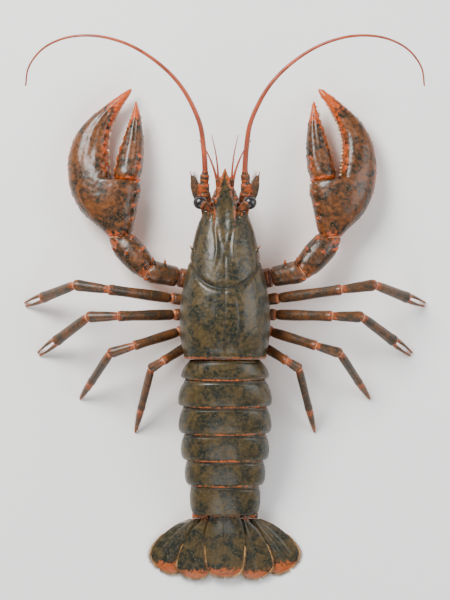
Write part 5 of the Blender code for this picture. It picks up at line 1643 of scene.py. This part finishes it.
# %% Skin of the joints
knuckle(claw_point(HINGE_PLACE + 0.2, 3.6, 0.0), FORWARDS, vec(7.0, 8.6), 3.0, 1.0)
both(dress, "joint_skins_SIDE", join(joint_skins), SKIN, "limb")
print("joints:", len(joint_skins), "a side")


# %% [markdown]
# ## Eyes, feelers and mouth limbs
# The eyes are black beads on short stalks beside the rostrum. Below them come two thin forked feelers and
# the long antennae, each a lash of about 150 short rings. A tree turns a line into such a lash: it resamples
# the line a few times per ring and lets the girth rise and fall with the length. Under the head, a lip and a
# pair of jaws close the mouth, and two pairs of jointed limbs with combs of bristles hang before them.

# %% A tree for ringed feelers
RING_DEPTH = 0.12
LASH, given, made = new_tree("ringed feeler", (
    ("Ring length", "Float"), ("Ring depth", "Float"), ("Sides", "Int"), ("Finish", "Material")))
line = output(LASH, "GeometryNodeMeshToCurve", {"Mesh": given["Geometry"]})
step_length = sums(LASH, "DIVIDE", given["Ring length"], 5.0)
line = output(LASH, "GeometryNodeResampleCurve", {"Curve": line, "Length": step_length}, mode="LENGTH")
far = node(LASH, "GeometryNodeSplineParameter").outputs["Length"]
turns = sums(LASH, "MULTIPLY", sums(LASH, "DIVIDE", far, given["Ring length"]), 2 * math.pi)
wave = sums(LASH, "MULTIPLY_ADD", sums(LASH, "SINE", turns), 0.5, 0.5)
line = output(LASH, "GeometryNodeStoreNamedAttribute", {"Geometry": line, "Name": "ring", "Value": wave},
              data_type="FLOAT", domain="POINT")
swell = sums(LASH, "MULTIPLY_ADD", wave, given["Ring depth"], 1.0)
hoop = output(LASH, "GeometryNodeCurvePrimitiveCircle", {"Resolution": given["Sides"], "Radius": 1.0})
tube = output(LASH, "GeometryNodeCurveToMesh", {
    "Curve": line, "Profile Curve": hoop, "Scale": sums(LASH, "MULTIPLY", stored(LASH, "girth"), swell),
    "Fill Caps": True})
finished(LASH, given, made, output(LASH, "GeometryNodeRealizeInstances", {"Geometry": tube}))


def lash(name, points, girth, ring, sides, **rest):
    """A ringed feeler along a line of points, as thick as girth says at each."""
    edges = [(k, k + 1) for k in range(len(points) - 1)]
    values = {"Ring length": ring, "Ring depth": RING_DEPTH, "Sides": sides, "Finish": FEELER}
    run_tree(name, LASH, points, values, edges, slot="antenna", girth=girth, **rest)


print("ringed feeler tree:", len(LASH.nodes), "nodes")

# %% Antennae
ANTENNA_COURSE = ((14.5, 2.0, 46.5), (15.6, -14.0, 51.0), (19.0, -34.0, 57.0), (30.5, -57.0, 65.0),
                  (46.0, -74.0, 71.0), (66.0, -87.5, 75.0), (86.0, -94.6, 76.0), (104.0, -96.2, 73.5),
                  (120.0, -93.5, 68.0), (134.0, -86.0, 60.0), (143.5, -73.5, 50.5), (146.0, -59.0, 42.0))
ANTENNA_ROOT_RADIUS = 2.1
ANTENNA_TIP_RADIUS = 0.6
ANTENNA_RING = 1.5
course = curve(ANTENNA_COURSE, 12)
lengths = lengths_along(course)
taper = ANTENNA_ROOT_RADIUS + (ANTENNA_TIP_RADIUS - ANTENNA_ROOT_RADIUS) * (lengths / lengths[-1]) ** 0.8
both(lash, "antenna_lash_SIDE", course, taper * 0.96, ANTENNA_RING, 12,
     nodes=[f"antenna_{k}_SIDE" for k in (1, 2, 3)])
print("antenna:", round(lengths[-1]), "mm long,", round(lengths[-1] / ANTENNA_RING), "rings")

# %% Antennules
ANTENNULE_STALK = (((4.1, 31.7, 45.5), 2.3, 2.3), ((4.3, 24, 47.0), 2.4, 2.4), ((4.5, 22.5, 47.4), 2.0, 2.0),
                   ((4.7, 16, 48.6), 2.2, 2.2), ((4.9, 14.5, 48.9), 1.8, 1.8), ((5.2, 9, 50.2), 1.9, 1.9),
                   ((5.3, 7.5, 50.5), 1.5, 1.5))
ANTENNULE_LASHES = (
    ("inner", ((4.9, 9.5, 50.0), (5.4, 0, 53.0), (7.0, -12, 57.5), (10.0, -25, 63.5)), 0.9),
    ("outer", ((5.9, 9.5, 50.2), (8.4, 0, 54.5), (13.0, -11, 61.5), (19.5, -21, 69.5)), 1.0),
)
stalk = limb(ANTENNULE_STALK, vec(0, -1, 0), sides=24, spacing=0.4)
both(dress, "antennule_stalk_SIDE", stalk, LIMB, "limb", nodes=["antennule_SIDE"], warm=0.32)
for name, knots, root_radius in ANTENNULE_LASHES:
    points = curve(knots, 12)
    both(lash, f"antennule_{name}_lash_SIDE", points, np.linspace(root_radius, 0.24, len(points)), 0.9, 10,
         nodes=["antennule_SIDE"])
print("antennules:", 2 * len(ANTENNULE_LASHES), "lashes")

# %% Antenna bases
ANTENNA_CUPS = (((12.2, 31.7, 40.5), (13.9, 25.0, 42.0), 4.7, 5.3),
                ((13.7, 26.6, 41.7), (15.5, 18.2, 43.6), 4.2, 4.8),
                ((15.4, 19.6, 43.3), (15.4, 11.4, 45.1), 3.6, 4.15),
                ((15.4, 12.8, 44.8), (14.7, 4.6, 46.2), 2.9, 3.45),
                ((14.8, 6.0, 46.0), (14.5, 2.2, 46.5), 2.2, 2.45))
CUP_SHAPE = ((0.0, 1.0), (0.55, 1.03), (0.92, 1.0), (1.0, 0.9))
ANTENNA_SCALE_SHAPE = (((16.0, 28.0, 42.3), 2.2, 1.3), ((19.4, 20.5, 43.9), 4.0, 1.1),
                       ((22.2, 12.0, 45.5), 3.3, 0.9), ((24.0, 5.5, 46.7), 1.3, 0.6))
SCALE_EDGE = ((16.9, 19.5, 44.9), (19.5, 11.5, 46.3), (22.6, 5.4, 47.2), (24.0, 3.6, 47.4))
ANTENNA_SPINES = (((12.6, 17.5, 46.5), (12.4, 11.6, 50.2), 1.2), ((23.6, 9.0, 46.2), (25.6, 2.4, 47.6), 0.9),
                  ((17.8, 20.5, 46.5), (18.8, 15.6, 48.6), 0.9))
cups = []
for first, last, narrow, wide in ANTENNA_CUPS:
    rows = stations(vec(*first), vec(*last), vec(narrow, narrow), vec(wide, wide), CUP_SHAPE)
    cups.append(limb(rows, vec(0, -1, 0) if not cups else None, sides=32, spacing=0.35, edge=0.45))
leafy_scale = limb(ANTENNA_SCALE_SHAPE, sides=40, spacing=0.4, power=1.7, edge=0.3)
spines, tips = thorns(ANTENNA_SPINES)
base = fused(cups + [leafy_scale] + spines, voxel=0.3, relax=3)
p = base[0]
x, y, _ = p.T
rims = sum(bell(np.linalg.norm(p - vec(*last), axis=1), wide, 0.5) for _, last, _, wide in ANTENNA_CUPS)
on_scale = ramp(17.6, 19.0, x + 0.25 * (y - 20) * (y < 20))
rib = bell(x - 19.9 + 0.33 * (y - 20), 0, 0.8) * on_scale * ramp(0.2, 0.7, normals(base)[:, 2])
base = raised(base, 0.3 * rib + 0.12 * wobble(p, 1.8) + 0.1 * wobble(p, 4.0))
warm = 0.4 * np.minimum(rims, 1) + tip_glow(p, tips, 2.6) + 0.08
both(dress, "antenna_base_shell_SIDE", base, LIMB, "limb", nodes=["antenna_base_SIDE"], warm=warm)
edge = spread(curve(SCALE_EDGE, 6), 0.22) - vec(0, 0, 0.7)
both(fringe, "antenna_scale_fringe_SIDE", edge, (-0.75, -0.9, 0.05), 3.0, 0.1, 0.16, 51)
print("antenna base:", len(p), "points,", len(edge), "bristles")

# %% Eyes
EYE_ROOT = vec(9.4, 31.7, 50.6)
EYE_CENTRE = vec(18.2, 25.4, 52.6)
EYE_RADIUS = 5.0
EYE_STALK_SHAPE = ((0.25, 2.5), (0.6, 3.4), (0.8, 4.5), (0.95, 4.7))
BROW_SHAPE = ((-34, 3.6, 0.9), (-20, 3.0, 0.6), (-9, 1.7, 0.45), (-1, 0.6, 0.3))
away = unit(EYE_CENTRE - EYE_ROOT)
over = unit(vec(0, 0, 1) - away * away[2])
rows = [(EYE_ROOT - away * 2, 2.7, 2.7)]
rows += [(EYE_ROOT + (EYE_CENTRE - EYE_ROOT) * share, radius, radius) for share, radius in EYE_STALK_SHAPE]
brow = []
for degrees, w, h in BROW_SHAPE:
    t = math.radians(degrees)
    brow.append((EYE_CENTRE + (over * math.cos(t) + away * math.sin(t)) * (EYE_RADIUS - 0.25), w, h))
stalk = limb(rows, sides=28, spacing=0.4, edge=1.0)
stalk = fused([stalk, limb(brow, sides=20, spacing=0.4, edge=0.3)], voxel=0.3, relax=4)
stalk = raised(stalk, 0.06 * wobble(stalk[0], 2.6))
rows = [(EYE_CENTRE + away * (EYE_RADIUS * math.sin(t)), EYE_RADIUS * math.cos(t), EYE_RADIUS * math.cos(t))
        for t in np.radians(np.linspace(-50, 84, 26))]
bead = limb(rows, away, away, sides=40, spacing=0.3, edge=0.2, power=2.0)
both(dress, "eye_stalk_SIDE", stalk, LIMB, "limb", nodes=["eye_SIDE"], warm=0.3)
both(dress, "eye_bead_SIDE", bead, EYE, "eye", nodes=["eye_SIDE"])
print("eyes:", 2 * EYE_RADIUS, "mm across")

# %% Jaws and lip
JAW_SHAPE = (((10.0, 46.0, 31.8), 2.4, 2.8), ((7.0, 41.0, 31.0), 3.0, 3.4), ((3.6, 37.6, 30.2), 2.8, 3.0),
             ((0.2, 36.0, 29.6), 1.7, 2.0))
LIP_SHAPE = (((0, 42.0, 36.0), 4.0, 2.4), ((0, 36.6, 34.4), 4.2, 2.2), ((0, 33.9, 31.8), 2.8, 1.5))
jaw = limb(JAW_SHAPE, None, vec(-1, 0, 0), sides=40, spacing=0.35, edge=1.6)
inwards = jaw[0][:, 0]
jaw = raised(jaw, 0.14 * wobble(jaw[0], 2.0) - 0.3 * bell(inwards, 3.0, 0.45))
# painted shade: the groove along each jaw is darkened
both(dress, "jaw_SIDE", jaw, BELLY, "underside", warm=0.42, pale=ramp(3.2, 1.2, inwards),
     deep=0.7 * bell(inwards, 3.0, 0.5))
lip = limb(LIP_SHAPE, sides=36, spacing=0.4, edge=1.2)
dress("upper_lip", raised(lip, 0.15 * wobble(lip[0], 1.8)), BELLY, "underside", warm=0.3)
print("jaw:", len(jaw[0]), "points, lip:", len(lip[0]), "points")

# %% Mouth limbs
INNER_MAXILLIPED_SHAPE = (
    ((5.8, 58, 19.4), 2.0, 2.0), ((5.6, 51, 20.4), 2.3, 2.2), ((5.2, 43, 22.8), 2.3, 2.2),
    ((4.7, 35.5, 25.2), 2.1, 2.0), ((4.4, 31.0, 26.6), 1.6, 1.6), ((4.1, 27.4, 26.9), 1.9, 1.8),
    ((3.6, 24.2, 25.2), 1.7, 1.6), ((3.2, 22.4, 22.9), 1.3, 1.3), ((2.8, 21.2, 20.2), 1.25, 1.25),
    ((2.3, 20.6, 17.4), 0.45, 0.45))
MAXILLIPED_SHAPE = (
    (MAXILLIPED_ROOT - vec(0, GAP / 2, 0), 3.3, 3.1), ((8.0, 53, 14.6), 3.7, 3.3),
    ((8.4, 44, 17.0), 3.5, 3.2), ((8.6, 35, 20.0), 3.0, 2.8), ((8.5, 31, 21.4), 2.4, 2.3),
    ((8.2, 26.5, 21.8), 2.8, 2.6), ((7.4, 22.0, 19.6), 2.5, 2.4), ((6.9, 19.6, 17.4), 1.9, 1.9),
    ((6.0, 16.8, 13.6), 1.8, 1.8), ((5.0, 15.0, 9.0), 0.6, 0.6))
for name, rows, size, nodes, seed in (("maxilliped", MAXILLIPED_SHAPE, 1.0, ["maxilliped_SIDE"], 31),
                                      ("inner_maxilliped", INNER_MAXILLIPED_SHAPE, 0.7, [], 37)):
    mouth_leg = limb(rows, vec(0, -1, 0), sides=26, spacing=0.5)
    points = spread(curve([row[0] for row in rows], 8), 0.35)
    lies = np.repeat([(-1, -0.5, -0.3), (-0.6, -0.5, -0.8)], len(points), axis=0)
    points = np.concatenate([points + vec(-2.4, 0, -0.5) * size, points + vec(-1.2, 0, -2.0) * size])
    both(dress, f"{name}_shell_SIDE", mouth_leg, LIMB, "limb", nodes=nodes, warm=0.26)
    both(fringe, f"{name}_fringe_SIDE", points, lies, 2.4 * size, 0.11, 0.3, seed)
    print(name, len(points), "bristles a side")
